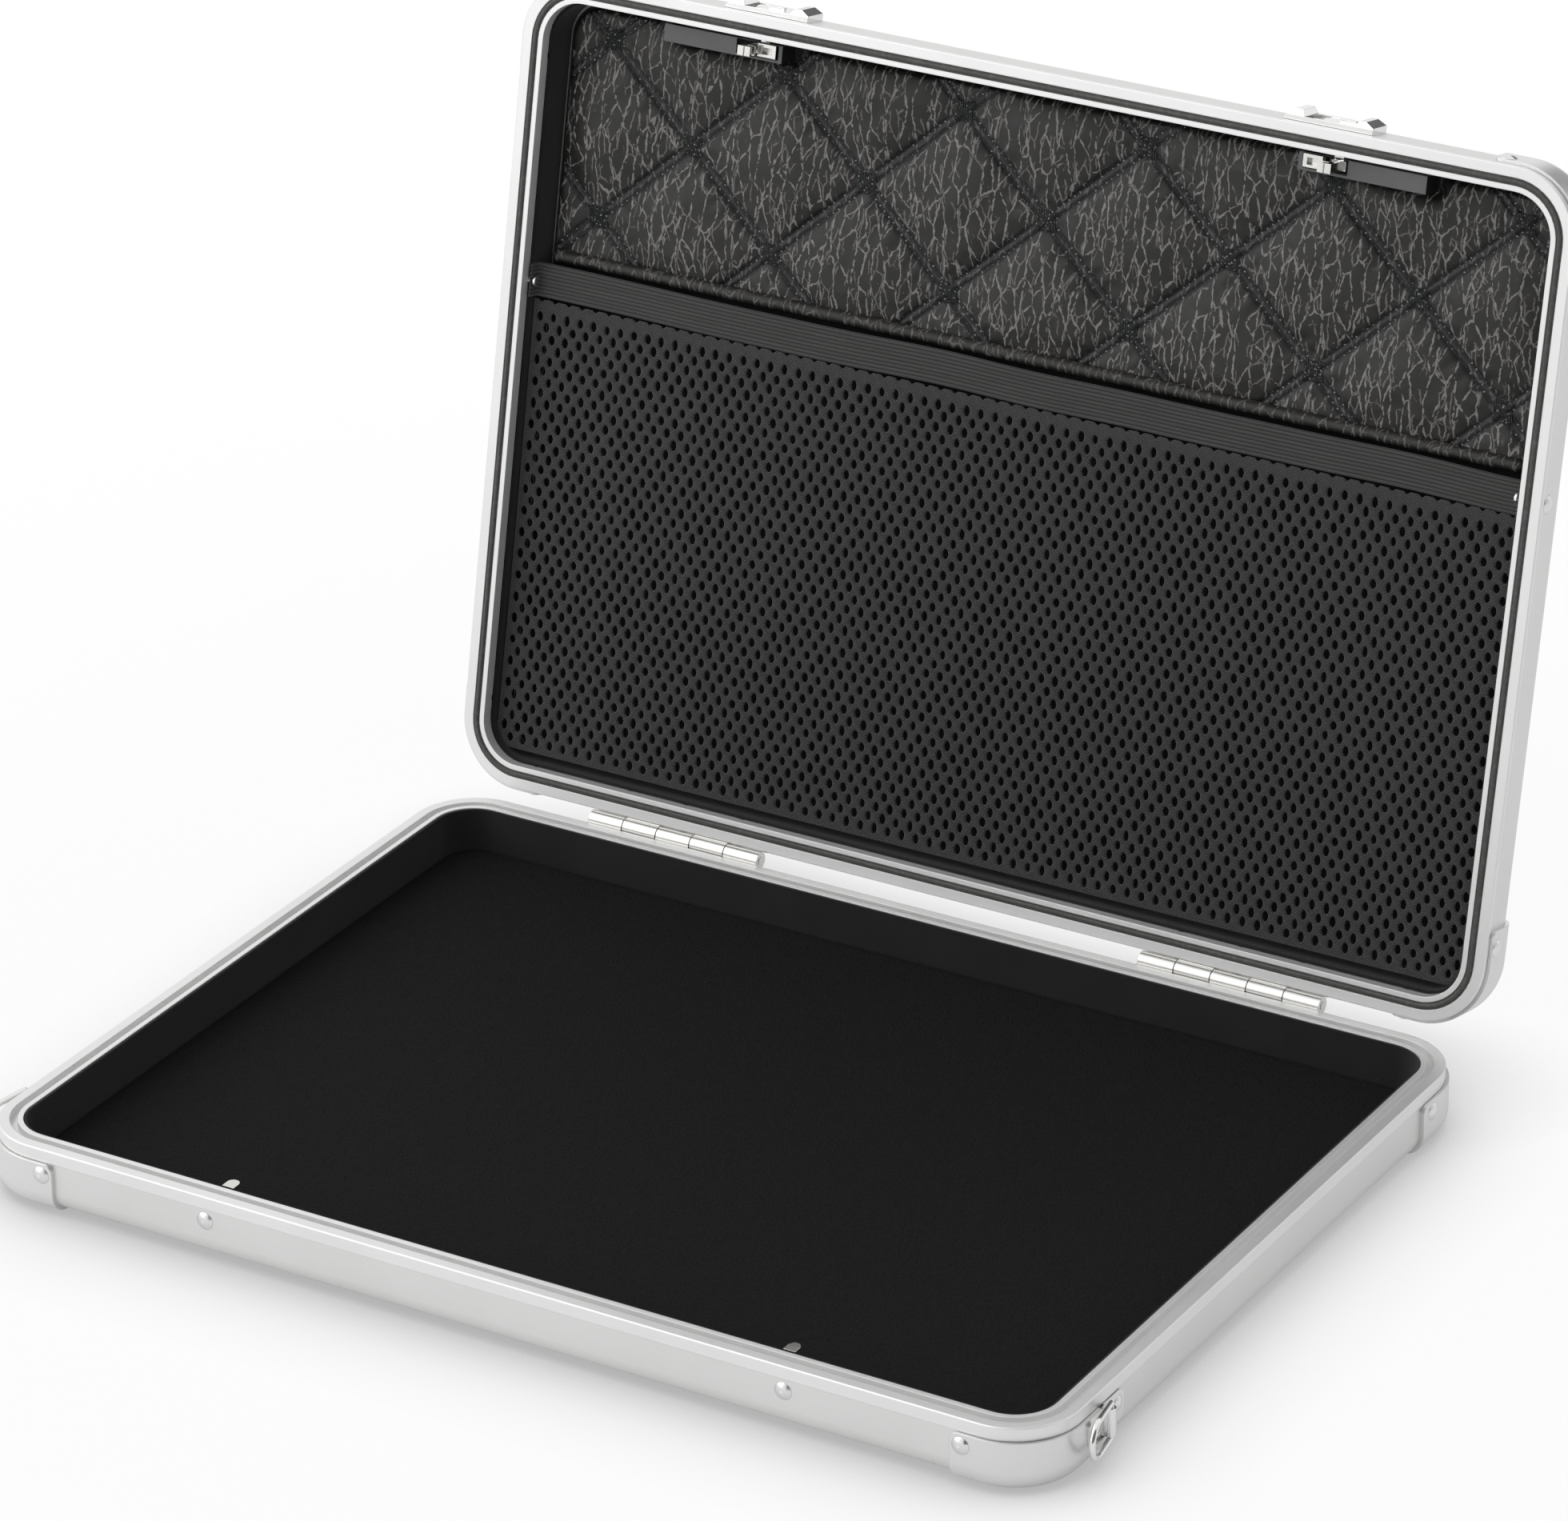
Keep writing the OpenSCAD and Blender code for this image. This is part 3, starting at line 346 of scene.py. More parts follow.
def crackle(s, sheet):
    """Broken upright veins over the sheet, and the slow noise that they follow."""
    warp = s.add("TexNoise", noise_dimensions="3D")
    s.put(warp.inputs["Vector"], sheet)
    warp.inputs["Scale"].default_value = 3.0
    warp.inputs["Detail"].default_value = 5.0
    warp.inputs["Roughness"].default_value = 0.6
    bend = s.add("VectorMath", operation="MULTIPLY_ADD")
    s.put(bend.inputs[0], warp.outputs["Color"])
    bend.inputs[1].default_value = (0.20, 0.34, 0.0)
    s.put(bend.inputs[2], sheet)
    bent = bend.outputs[0]
    patch = s.noise(sheet, 1.5, 3.0)
    broken = s.noise(sheet, 4.6, 2.0)
    # main veins, then short side veins, then dots
    gap, upright = s.cracks(bent, (2.5, 0.95, 1.0))
    wide = s.step(broken, 0.3, 0.7, 0.03, 0.36)
    vein = s.times(s.step(s.minus(gap, wide), 0.08, -0.08),
                   s.times(s.step(upright, 0.30, 0.50), s.step(broken, 0.36, 0.44)))
    gap, upright = s.cracks(s.shifted(bent, (7.3, 3.1, 0.0)), (3.1, 1.45, 1.0))
    side = s.times(s.step(gap, 0.27, 0.13),
                   s.times(s.step(upright, 0.35, 0.55), s.step(patch, 0.46, 0.54)))
    dots = s.times(s.step(s.cells(sheet, 4.4, "F1"), 0.14, 0.08), s.step(patch, 0.47, 0.54))
    return s.most(vein, s.most(s.times(side, 0.62), s.times(dots, 0.6))), patch


def seam_rows(s, across, along):
    """Distance in mm from one family of seams, its thread, its painted glints and its painted
    line of shade.
    """
    far = s.absolute(s.minus(s.math("FRACT", s.plus(across, 0.5)), 0.5))
    far = s.times(far, SEAM_L)
    row = s.absolute(s.minus(far, ROW))
    beat = s.math("FRACT", s.times(along, ALONG_L / STITCH_L))
    beat = s.absolute(s.minus(beat, 0.5))
    thread = s.times(s.step(row, 0.55, 0.2), s.step(beat, 0.12, 0.2))
    # painted highlights: pale glints along each row of stitches
    glints = s.times(s.step(row, 0.34, 0.16), s.step(beat, 0.13, 0.07))
    return far, thread, glints, s.step(row, 0.75, 0.2)


def stitched(s, sheet, veins, body, pale):
    """Colour and height of the leatherette where it is sewn down, with painted glints and painted
    shade along the stitches.
    """
    u, t, _ = s.split(s.uv("seams"))
    one, other = seam_rows(s, u, t), seam_rows(s, t, u)
    seam = s.step(s.math("MINIMUM", one[0], other[0]), 3.4, 1.2)
    thread, light, dark = (s.most(a, b) for a, b in zip(one[1:], other[1:]))
    # square tacks where two seams cross
    x, v, _ = s.split(s.uv("tuft"))
    tack = s.most(s.absolute(x), s.absolute(v))
    tack = s.plus(tack, s.times(s.noise(sheet, 12.0, 2.0), 0.9))
    tack = s.step(tack, 3.9, 3.5)
    ridge = s.math("SINE", s.times(s.plus(x, s.times(v, 0.35)), 11.0))
    # painted highlights: glints on the tacks
    glint = s.times(s.step(s.noise(sheet, 15.0, 1.0), 0.66, 0.72), tack)
    light = s.times(light, s.step(s.noise(sheet, 7.0, 1.0), 0.46, 0.56))
    veins = s.times(veins, s.minus(1.0, s.times(seam, 0.55)))
    body = s.mix(s.times(seam, 0.6), body, (0.016, 0.0150, 0.0165))
    colour = s.mix(veins, body, pale)
    # painted shade: a dark line along each row of stitches, in the crease where they draw the
    # cloth in
    colour = s.mix(s.times(dark, 0.8), colour, (0.006, 0.006, 0.0068))
    colour = s.mix(thread, colour, (0.006, 0.006, 0.007))
    colour = s.mix(tack, colour, (0.0075, 0.0085, 0.0085))
    # the painted glints: a pale highlight colour on the stitches and tacks
    colour = s.mix(s.times(s.most(light, glint), 0.8), colour, (0.34, 0.34, 0.34))
    height = s.plus(s.times(thread, 0.6), s.times(tack, s.times(ridge, 0.9)))
    return colour, height, veins


def leatherette(name, seams=True):
    """Charcoal leatherette with pale crackled veins; along the seams, two rows of stitches."""
    s = Shader(name)
    sheet = s.uv("sheet")
    veins, patch = crackle(s, sheet)
    body = s.mix(s.step(patch, 0.3, 0.7), (0.0150, 0.0141, 0.0129), (0.0205, 0.0193, 0.0177))
    pale = (0.215, 0.206, 0.197)
    if seams:
        colour, height, veins = stitched(s, sheet, veins, body, pale)
    else:
        colour = s.mix(s.times(veins, 0.5), body, pale)
        height = s.times(patch, 0.2)
    hide = s.cells(sheet, 18.0)
    height = s.plus(height, s.times(s.step(hide, 0.0, 0.2), 0.25))
    height = s.plus(height, s.times(veins, 0.35))
    s.set(Base_Color=colour, Roughness=s.step(patch, 0.3, 0.7, 0.42, 0.54))
    s.set(Specular_IOR_Level=0.36)
    s.set(Normal=s.bump(height, 0.00012, 0.8))
    return s.material


def elastic():
    """Ribbed elastic: painted shade in the grooves between the ribs, and fine yarn across each
    rib.
    """
    s = Shader("elastic")
    x, v, _ = s.split(s.uv("sheet"))
    rib = s.absolute(s.math("SINE", s.times(v, math.pi)))
    yarn = s.noise(s.join(s.times(x, 3.2), s.times(v, 0.9)), 1.0, 2.0)
    cloud = s.noise(s.join(s.times(x, 0.05), v), 1.0, 1.0)
    # painted shade: the grooves between the ribs are painted darker; the yarn varies the colour
    # at random
    tone = s.times(s.step(rib, 0.12, 0.75), s.step(yarn, 0.2, 0.75, 0.62, 1.0))
    pale = s.mix(s.step(cloud, 0.3, 0.7), (0.058, 0.057, 0.055), (0.072, 0.071, 0.069))
    s.set(Base_Color=s.mix(tone, (0.020, 0.0195, 0.019), pale), Roughness=0.75)
    s.set(Specular_IOR_Level=0.3)
    s.set(Sheen_Weight=0.15)
    s.set(Normal=s.bump(s.plus(rib, s.times(yarn, 0.3)), 0.0002, 0.8))
    return s.material


def net_yarn():
    """Fuzzy knitted yarn of the pocket's net."""
    s = Shader("net")
    x, v, _ = s.split(s.uv("sheet"))
    loops = s.times(s.math("SINE", s.times(v, 78.0)),
                   s.math("SINE", s.times(x, 62.0)))
    fuzz = s.noise(s.uv("sheet"), 26.0, 2.0)
    tone = s.step(s.plus(s.times(loops, 0.25), fuzz), 0.3, 0.8)
    s.set(Base_Color=s.mix(tone, (0.028, 0.0275, 0.027), (0.070, 0.068, 0.067)), Roughness=0.8)
    s.set(Specular_IOR_Level=0.25)
    s.set(Sheen_Weight=0.2)
    s.set(Normal=s.bump(s.plus(loops, fuzz), 0.00018, 0.8))
    return s.material


SHELL = aluminium("shell_aluminium", (0.772, 0.773, 0.761), 0.40)
FRAME = aluminium("frame_aluminium", (0.855, 0.855, 0.848), 0.36, 0.00035, 0.3, metal=0.5)
CAP = aluminium("cap_aluminium", (0.775, 0.776, 0.768), 0.33, 0.00035)
RIVET = bright_metal("rivet_metal", (0.780, 0.780, 0.778), 0.24)
CHROME = bright_metal("bright_plate", (0.820, 0.818, 0.812), 0.13)
NICKEL = bright_metal("nickel_steel", (0.700, 0.690, 0.665), 0.22)
SEAL = rubber()
FLOCK = flock()
FOAM = foam()
QUILT = leatherette("quilt_leatherette")
PIPING = leatherette("piping_leatherette", seams=False)
ELASTIC = elastic()
NET = net_yarn()
COVER = plastic()


# ---------- mesh helpers ----------

def piece(name, points, faces, body, material, replaced=(), uvs=None):
    """A smooth mesh piece that rides on a body; uvs gives one pair for each vertex."""
    mesh = bpy.data.meshes.new(name)
    corners = np.asarray(points).reshape(-1, 3)
    mesh.from_pydata([tuple(p) for p in corners], [], [tuple(f) for f in faces])
    mesh.validate()
    for key, pairs in (uvs or {}).items():
        layer = mesh.uv_layers.new(name=key)
        index = np.zeros(len(mesh.loops), np.int32)
        mesh.loops.foreach_get("vertex_index", index)
        layer.data.foreach_set("uv", np.asarray(pairs, np.float32).reshape(-1, 2)[index].ravel())
    mesh.polygons.foreach_set("use_smooth", [True] * len(mesh.polygons))
    mesh.materials.append(material)
    mesh.update()
    made = bpy.data.objects.new(name, mesh)
    bpy.context.scene.collection.objects.link(made)
    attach(made, body)
    if replaced:
        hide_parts(*replaced)
    return made


def grid_faces(rows, columns, wrap=False, flip=False, start=0):
    """Quads of a grid of vertices; wrap joins the last row to the first."""
    faces = []
    last = rows if wrap else rows - 1
    for i in range(last):
        a, b = i * columns, ((i + 1) % rows) * columns
        for j in range(columns - 1):
            quad = (start + a + j, start + b + j, start + b + j + 1, start + a + j + 1)
            faces.append(quad[::-1] if flip else quad)
    return faces


def outline(u, turn=14, along=6):
    """Rounded rectangle, inset u from the outside of the case, as x, y pairs."""
    r = CORNER - u
    cx, cy = HW - CORNER, HD - CORNER
    pairs = []
    for k, (sx, sy) in enumerate(((1, 1), (-1, 1), (-1, -1), (1, -1))):
        a0 = 90.0 * k
        for a in np.radians(np.linspace(a0, a0 + 90.0, turn + 1)):
            pairs.append((sx * cx + r * math.cos(a), sy * cy + r * math.sin(a)))
        x0, y0 = pairs[-1]
        nx, ny = ((-1, 1), (-1, -1), (1, -1), (1, 1))[k]
        a = math.radians(a0 + 90.0)
        x1 = nx * cx + r * math.cos(a)
        y1 = ny * cy + r * math.sin(a)
        for j in range(1, along):
            pairs.append((x0 + (x1 - x0) * j / along, y0 + (y1 - y0) * j / along))
    return np.array(pairs)


def swept(profile, lid, closed=True):
    """Sweeps (inset, height) pairs round the case. On the lid the height is w."""
    rings = []
    for u, z in profile:
        pair = outline(u)
        if lid:
            rings.append(lid_point(pair[:, 0], HD - pair[:, 1], z))
        else:
            rings.append(base_point(pair[:, 0], pair[:, 1], z))
    points = np.stack(rings, 1)  # around, profile
    count, width = points.shape[:2]
    faces = grid_faces(count, width, wrap=True)
    if closed:
        for i in range(count):
            j = (i + 1) % count
            faces.append((i * width + width - 1, j * width + width - 1, j * width, i * width))
    return points, faces, count, width


# ---------- linings, foam and board ----------

def wall_profile(u0, u1, z0, z1, r):
    """Closed section of a strip with rounded corners."""
    pairs = []
    turns = ((u1 - r, z1 - r, 0), (u0 + r, z1 - r, 90),
             (u0 + r, z0 + r, 180), (u1 - r, z0 + r, 270))
    for cu, cz, a0 in turns:
        for a in np.radians(np.linspace(a0, a0 + 90, 4)):
            pairs.append((cu + r * math.cos(a), cz + r * math.sin(a)))
    return pairs


def flat_pad(u0, z0, z1, r, lid=False):
    """A slab with the plan of the case inset by u0 and a rounded upper edge."""
    step = 1 if z1 > z0 else -1
    profile = [(u0 + 0.4, z0), (u0, z0 + 0.4 * step)]
    for a in np.radians(np.linspace(0, 90, 5)):
        profile.append((u0 + r * (1 - math.cos(a)), z1 - step * r * (1 - math.sin(a))))
    profile.append((u0 + r + 2.5, z1))
    points, faces, count, width = swept(profile, lid, closed=False)
    faces.append([i * width + width - 1 for i in range(count)])
    faces.append([i * width for i in range(count)][::-1])
    return points, faces


def make_linings():
    """Flocked strips inside the walls, the lid's backing board and the base's foam pad."""
    points, faces, _, _ = swept(wall_profile(7.25, 8.1, 2.6, RIM_Z - 0.25, 0.3), lid=False)
    piece("base_flock", points, faces, "base", FLOCK, ["base_lining"])
    points, faces, _, _ = swept(wall_profile(7.3, 8.15, 4.0, LID_DEPTH - 1.2, 0.3), lid=True)
    piece("lid_flock", points, faces, "lid", FLOCK, ["lid_lining"])
    points, faces = flat_pad(9.0, 15.2, 13.8, 0.6, lid=True)
    piece("lid_backing", points, faces, "lid", FLOCK, ["lid_board"])
    points, faces = flat_pad(8.4, 2.3, 7.3, 1.6)
    pad = piece("base_foam", points, faces, "base", FOAM, ["base_pad"])


make_linings()


# ---------- quilted panel ----------

QUILT_U = 10.2
QUILT_V0, QUILT_V1 = 163.5, CASE_D - QUILT_U
QUILT_BACK = 13.7
BASE_H, CROWN = 1.3, 3.3
TUFT_X, TUFT_V = 25.0 - HW, CASE_D - 18.5
PITCH_X, PITCH_V = 60.6, 54.5
STRIKE_X = HW - 83.0
COVER_X0, COVER_X1 = STRIKE_X - 5.6, STRIKE_X + 35.1
COVER_U1 = 13.6


def half_width(v, u):
    """Half the width of the plan inset by u at height v on the lid."""
    r = CORNER - u
    over = np.clip(v - (CASE_D - CORNER), 0, r)
    return HW - CORNER + np.sqrt(r * r - over * over)


def from_edge(x, v):
    """Distance from the outline of the quilt, in mm; the corners are round."""
    r = CORNER - QUILT_U
    dx = np.abs(x) - (HW - CORNER)
    dv = v - (CASE_D - CORNER)
    corner = r - np.hypot(np.maximum(dx, 0), np.maximum(dv, 0))
    side = np.minimum(r - dx, r - dv)
    out = np.where((dx > 0) & (dv > 0), corner, side)
    return np.minimum(out, v - QUILT_V0)


def from_covers(x, v):
    """Distance from the two notches round the latch covers, 0 inside them."""
    r = 2.2
    x0, x1, v0 = COVER_X0 - 1.4, COVER_X1 + 1.4, CASE_D - COVER_U1 - 1.4
    dx = np.maximum(x0 + r - np.abs(x), np.abs(x) - (x1 - r))
    dv = v0 + r - v
    gap = np.hypot(np.maximum(dx, 0), np.maximum(dv, 0)) - r
    return np.maximum(gap, 0)


def waves(x, v, seed, size, amount):
    """Smooth seeded unevenness from a few dozen sine waves."""
    rng = np.random.default_rng(seed)
    total = 0.0 * (x + v)
    for _ in range(26):
        angle, phase = rng.uniform(0, math.pi), rng.uniform(0, 2 * math.pi)
        length = size * rng.uniform(0.6, 1.7)
        along = x * math.cos(angle) + v * math.sin(angle)
        total = total + np.sin(along * 2 * math.pi / length + phase)
    return total * amount / 5.0


def from_tuft(x, v, u, t):
    """Offset in mm from the nearest crossing of two seams."""
    k, m = np.round(u), np.round(t)
    return x - (TUFT_X + (k + m) / 2 * PITCH_X), v - (TUFT_V - (m - k) / 2 * PITCH_V)


def quilt_height(x, v):
    """Height of the cloth over the panel's back in mm, and its place in seams, u and t."""
    p, q = (x - TUFT_X) / PITCH_X, (TUFT_V - v) / PITCH_V
    u, t = p - q, p + q
    far = [np.abs(c - np.round(c)) * SEAM_L for c in (u, t)]
    swell = []
    for d in far:
        share = np.clip((d - 1.4) / (SEAM_L - 2.8), 0, 1)
        swell.append(np.sin(np.pi * share) ** 0.5)
    edge = np.clip(from_edge(x, v) / 9.0, 0, 1) ** 0.5
    notch = np.clip(from_covers(x, v) / 5.0, 0, 1) ** 0.5
    plump = swell[0] * swell[1]
    near = np.minimum(far[0], far[1])
    # cloth puckers where the stitches draw it in
    pucker = 0
    for d, along in ((far[0], t), (far[1], u)):
        fall = np.exp(-((d - 4.2) / 2.6) ** 2)
        wave = np.sin(along * ALONG_L * 2 * np.pi / 6.1 + 1.3 * np.sin(along * 9.0))
        pucker = pucker + 0.16 * fall * wave
    band = np.where(near < ROW, 0.30 * (1 - (near / ROW) ** 2), 0)
    groove = -0.35 * np.exp(-((near - ROW) / 0.4) ** 2)
    tx, tv = from_tuft(x, v, u, t)
    tack = np.clip((3.5 - np.maximum(np.abs(tx), np.abs(tv))) / 0.6, 0, 1) * 0.4
    soft = np.clip(near / 6.0, 0, 1)
    h = BASE_H + CROWN * plump * edge * notch
    h = h + (band + groove + pucker * edge + tack) + soft * edge * (
        waves(x, v, 3, 22.0, 0.22) + waves(x, v, 5, 9.0, 0.07))
    # the cloth is drawn down over the rim of the panel
    rim = np.clip(from_edge(x, v) / 1.6, 0, 1)
    hole = np.clip(from_covers(x, v) / 1.8, 0, 1)
    drawn = np.sqrt(np.clip(rim * (2 - rim), 0, 1)) * np.sqrt(np.clip(hole * (2 - hole), 0, 1))
    return h * drawn, u, t


def make_quilt():
    """Quilted panel: a fine height field over a flat back."""
    columns, rows = 620, 190
    v = np.linspace(QUILT_V0 + 1.2, QUILT_V1, rows)[:, None] * np.ones((1, columns))
    s = np.linspace(-1, 1, columns)[None, :] * np.ones((rows, 1))
    x = s * half_width(v, QUILT_U)
    h, u, t = quilt_height(x, v)
    front = lid_point(x, v, QUILT_BACK - h)
    # back sheet, a coarse copy of the border joined to the front
    border = ([(0, j) for j in range(columns)]
              + [(i, columns - 1) for i in range(1, rows)]
              + [(rows - 1, j) for j in range(columns - 2, -1, -1)]
              + [(i, 0) for i in range(rows - 2, 0, -1)])
    ids = [i * columns + j for i, j in border]
    bx, bv = np.array([x[i, j] for i, j in border]), np.array([v[i, j] for i, j in border])
    back = lid_point(bx, bv, QUILT_BACK)
    faces = grid_faces(rows, columns, flip=True)
    n, m = rows * columns, len(ids)
    for k in range(m):
        faces.append((ids[k], ids[(k + 1) % m], n + (k + 1) % m, n + k)[::-1])
    faces.append([n + k for k in range(m)][::-1])
    points = np.concatenate([front.reshape(-1, 3), back])
    sheet = np.concatenate([np.stack([x, v], -1).reshape(-1, 2), np.stack([bx, bv], -1)]) / UV_MM
    seams = np.concatenate([np.stack([u, t], -1).reshape(-1, 2), np.zeros((m, 2))])
    tx, tv = from_tuft(x, v, u, t)
    tuft = np.concatenate([np.stack([tx, tv], -1).reshape(-1, 2), np.full((m, 2), 20.0)])
    panel = piece("quilt_panel", points, faces, "lid", QUILT, ["lid_quilt"],
                  {"sheet": sheet, "seams": seams, "tuft": tuft})


def make_piping():
    """Rolled edge of leatherette along the lower end of the quilt."""
    rings, turn = 150, 14
    half = half_width(QUILT_V0, QUILT_U) - 0.2
    xs = np.linspace(-half, half, rings)
    end = np.clip((half - np.abs(xs)) / 2.6, 0, 1)
    size = np.sqrt(np.clip(end * (2 - end), 0.02, 1))
    rough = waves(xs, xs * 0, 11, 14.0, 0.10)
    angle = np.linspace(0, 2 * np.pi, turn, endpoint=False)
    v = 165.0 + (2.0 + rough[:, None] * 0.5) * size[:, None] * np.cos(angle)[None, :]
    w = 11.0 + (2.5 + rough[:, None]) * size[:, None] * np.sin(angle)[None, :]
    x = xs[:, None] * np.ones((1, turn))
    v, w, x = (np.concatenate([a, a[:, :1]], 1) for a in (v, w, x))
    faces = grid_faces(rings, turn + 1, flip=True)
    points = lid_point(x, v, w)
    faces.append(list(range(turn)))
    faces.append([(rings - 1) * (turn + 1) + k for k in range(turn)][::-1])
    sheet = np.stack([x, v + w], -1) / UV_MM
    roll = piece("quilt_piping", points, faces, "lid", PIPING,
                 uvs={"sheet": sheet})
    weld(roll)


def weld(obj, distance=1e-6):
    b = bmesh.new()
    b.from_mesh(obj.data)
    bmesh.ops.remove_doubles(b, verts=b.verts, dist=distance)
    bmesh.ops.recalc_face_normals(b, faces=b.faces)
    b.to_mesh(obj.data)
    b.free()


make_quilt()
make_piping()


# ---------- elastic band ----------

BAND_V0, BAND_V1 = 152.0, 162.4
BAND_W = 6.6


def make_band():
    """Ribbed strip that turns in against the side walls at both ends."""
    reach = HW - 7.2 - 0.85 - 0.2  # inside the frame and the lining, with a gap
    path = []  # x, w and the outward direction of the front face
    r = 1.6
    for w in np.linspace(2.2, BAND_W - r, 4):
        path.append((reach, w, 1.0, 0.0))
    for a in np.radians(np.linspace(10, 90, 7)):
        nx, nw = math.cos(a), math.sin(a)
        path.append((reach - r * (1 - nx), BAND_W - r + r * nw, nx, nw))
    middle = np.linspace(reach - r, -(reach - r), 82)[1:-1]
    line = np.array(path + [(x, BAND_W, 0.0, 1.0) for x in middle]
                    + [(-x, w, -nx, nw) for x, w, nx, nw in path[::-1]])
    ribs = 9
    vs = np.linspace(0, 1, ribs * 6 + 1)
    lift = 0.13 * np.abs(np.sin(np.pi * vs * ribs)) - 0.05
    lift[0] = lift[-1] = -0.1
    steps = np.hypot(np.diff(line[:, 0]), np.diff(line[:, 1]))
    run = np.concatenate([[0], np.cumsum(steps)])
    sway = waves(line[:, 0:1], vs[None, :] * 0, 7, 70.0, 0.25)
    v = BAND_V0 + (BAND_V1 - BAND_V0) * vs[None, :] + sway
    # the front faces the rim, so it lies at the smaller w
    thick = 0.5
    front_x = line[:, 0:1] - line[:, 2:3] * (thick + lift[None, :])
    front_w = line[:, 1:2] + thick - line[:, 3:4] * (thick + lift[None, :])
    back_x = line[:, 0:1] + 0.0 * vs[None, :]
    back_w = line[:, 1:2] + thick + line[:, 3:4] * thick + 0.0 * vs[None, :]
    n, m = len(line), len(vs)
    front = lid_point(front_x, v, front_w)
    back = lid_point(back_x, v, back_w)
    faces = grid_faces(n, m, flip=True) + grid_faces(n, m, start=n * m)
    for i in range(n - 1):
        for j in (0, m - 1):
            a, b = i * m + j, (i + 1) * m + j
            faces.append((a, b, n * m + b, n * m + a))
    for i in (0, n - 1):
        for j in range(m - 1):
            a = i * m + j
            faces.append((a, a + 1, n * m + a + 1, n * m + a))
    # x in mm along the band, v in ribs
    sheet = np.stack([run[:, None] + 0 * v, vs[None, :] * ribs + 0 * v], -1)
    sheet = np.concatenate([sheet.reshape(-1, 2)] * 2)
    points = np.concatenate([front.reshape(-1, 3), back.reshape(-1, 3)])
    band = piece("elastic_band", points, faces, "lid", ELASTIC, ["lid_band"],
                 {"sheet": sheet})
    weld(band)


make_band()


# ---------- net pocket ----------

NET_W = 6.3
NET_V0, NET_V1 = 10.5, 151.6
CELL_X, CELL_V = 4.8, 3.4
HOLE_X, HOLE_V = 1.0, 1.62  # half the width and half the height of a hole


def net_cells(half):
    """Vertices, their lifts and the faces of a field of staggered six-sided cells, each with
    an upright hole. Neighbouring cells share their vertices."""
    across, up = int(2 * half / CELL_X) + 3, int((NET_V1 - NET_V0) / CELL_V) + 3
    corner = [(0, 2.547), (-2.4, 0.853), (-2.4, -0.853), (0, -2.547), (2.4, -0.853), (2.4, 0.853)]
    spokes = []
    for k in range(6):
        a, b = np.array(corner[k]), np.array(corner[(k + 1) % 6])
        spokes += [a, (a + b) / 2]
    spokes = np.array(spokes)
    angle = np.arctan2(spokes[:, 1], spokes[:, 0])
    hole = np.stack([HOLE_X * np.cos(angle), HOLE_V * np.sin(angle)], -1)
    rng = np.random.default_rng(12)
    found, points, lifts, faces = {}, [], [], []

    def vertex(x, v, lift):
        x, v = min(max(x, -half), half), min(max(v, NET_V0), NET_V1)
        key = (round(x, 3), round(v, 3))
        if key not in found:
            found[key] = len(points)
            points.append((x, v))
            lifts.append(lift)
        return found[key]

    for j in range(-1, up):
        for i in range(across):
            cx = -half - CELL_X / 2 + (i + 0.5 * (j % 2)) * CELL_X
            cv = NET_V0 + j * CELL_V
            jig, grow = rng.uniform(-0.13, 0.13, 2), rng.uniform(0.88, 1.1, 2)
            outer = [vertex(cx + x, cv + v, 0.0) for x, v in spokes]
            # a cell at the border has no hole
            if abs(cx) > half - 2.2 or cv > NET_V1 - 2.6 or cv < NET_V0 + 2.6:
                ring = [k for n, k in enumerate(outer) if k != outer[n - 1]]
                if len(set(ring)) > 2 and len(set(ring)) == len(ring):
                    faces.append(ring)
                continue
            rims = []
            for wider, lift in ((1.28, 0.16), (1.0, -0.08)):
                rims.append([vertex(cx + x * wider * grow[0] + jig[0],
                                    cv + v * wider * grow[1] + jig[1], lift) for x, v in hole])
            middle, inner = rims
            for first, last in ((outer, middle), (middle, inner)):
                for k in range(12):
                    n = (k + 1) % 12
                    faces.append([first[k], first[n], last[n], last[k]])
    return np.array(points), np.array(lifts), faces


def open_edges(faces):
    """Edges of one face only: the border of a net and the rims of its holes."""
    edges = dict.fromkeys((face[k - 1], a) for face in faces for k, a in enumerate(face))
    return [e for e in edges if (e[1], e[0]) not in edges]


def make_net():
    """Knitted net: two layers of cells, joined at the border and at the rims of the holes."""
    half = HW - 8.6
    spots, lift, faces = net_cells(half)
    count = len(spots)
    sag = 0.5 * np.sin(np.pi * (spots[:, 1] - NET_V0) / (NET_V1 - NET_V0))
    thick = 0.3
    front = lid_point(spots[:, 0], spots[:, 1], NET_W + sag - thick - lift)
    back = lid_point(spots[:, 0], spots[:, 1], NET_W + sag + thick + lift)
    shell = list(faces) + [[k + count for k in face[::-1]] for face in faces]
    shell += [[b, a, a + count, b + count] for a, b in open_edges(faces)]
    net = piece("pocket_net", np.concatenate([front, back]), shell, "lid", NET,
                ["lid_mesh"], {"sheet": np.concatenate([spots, spots]) / UV_MM})
    weld(net)


make_net()


# ---------- CAD nodes ----------

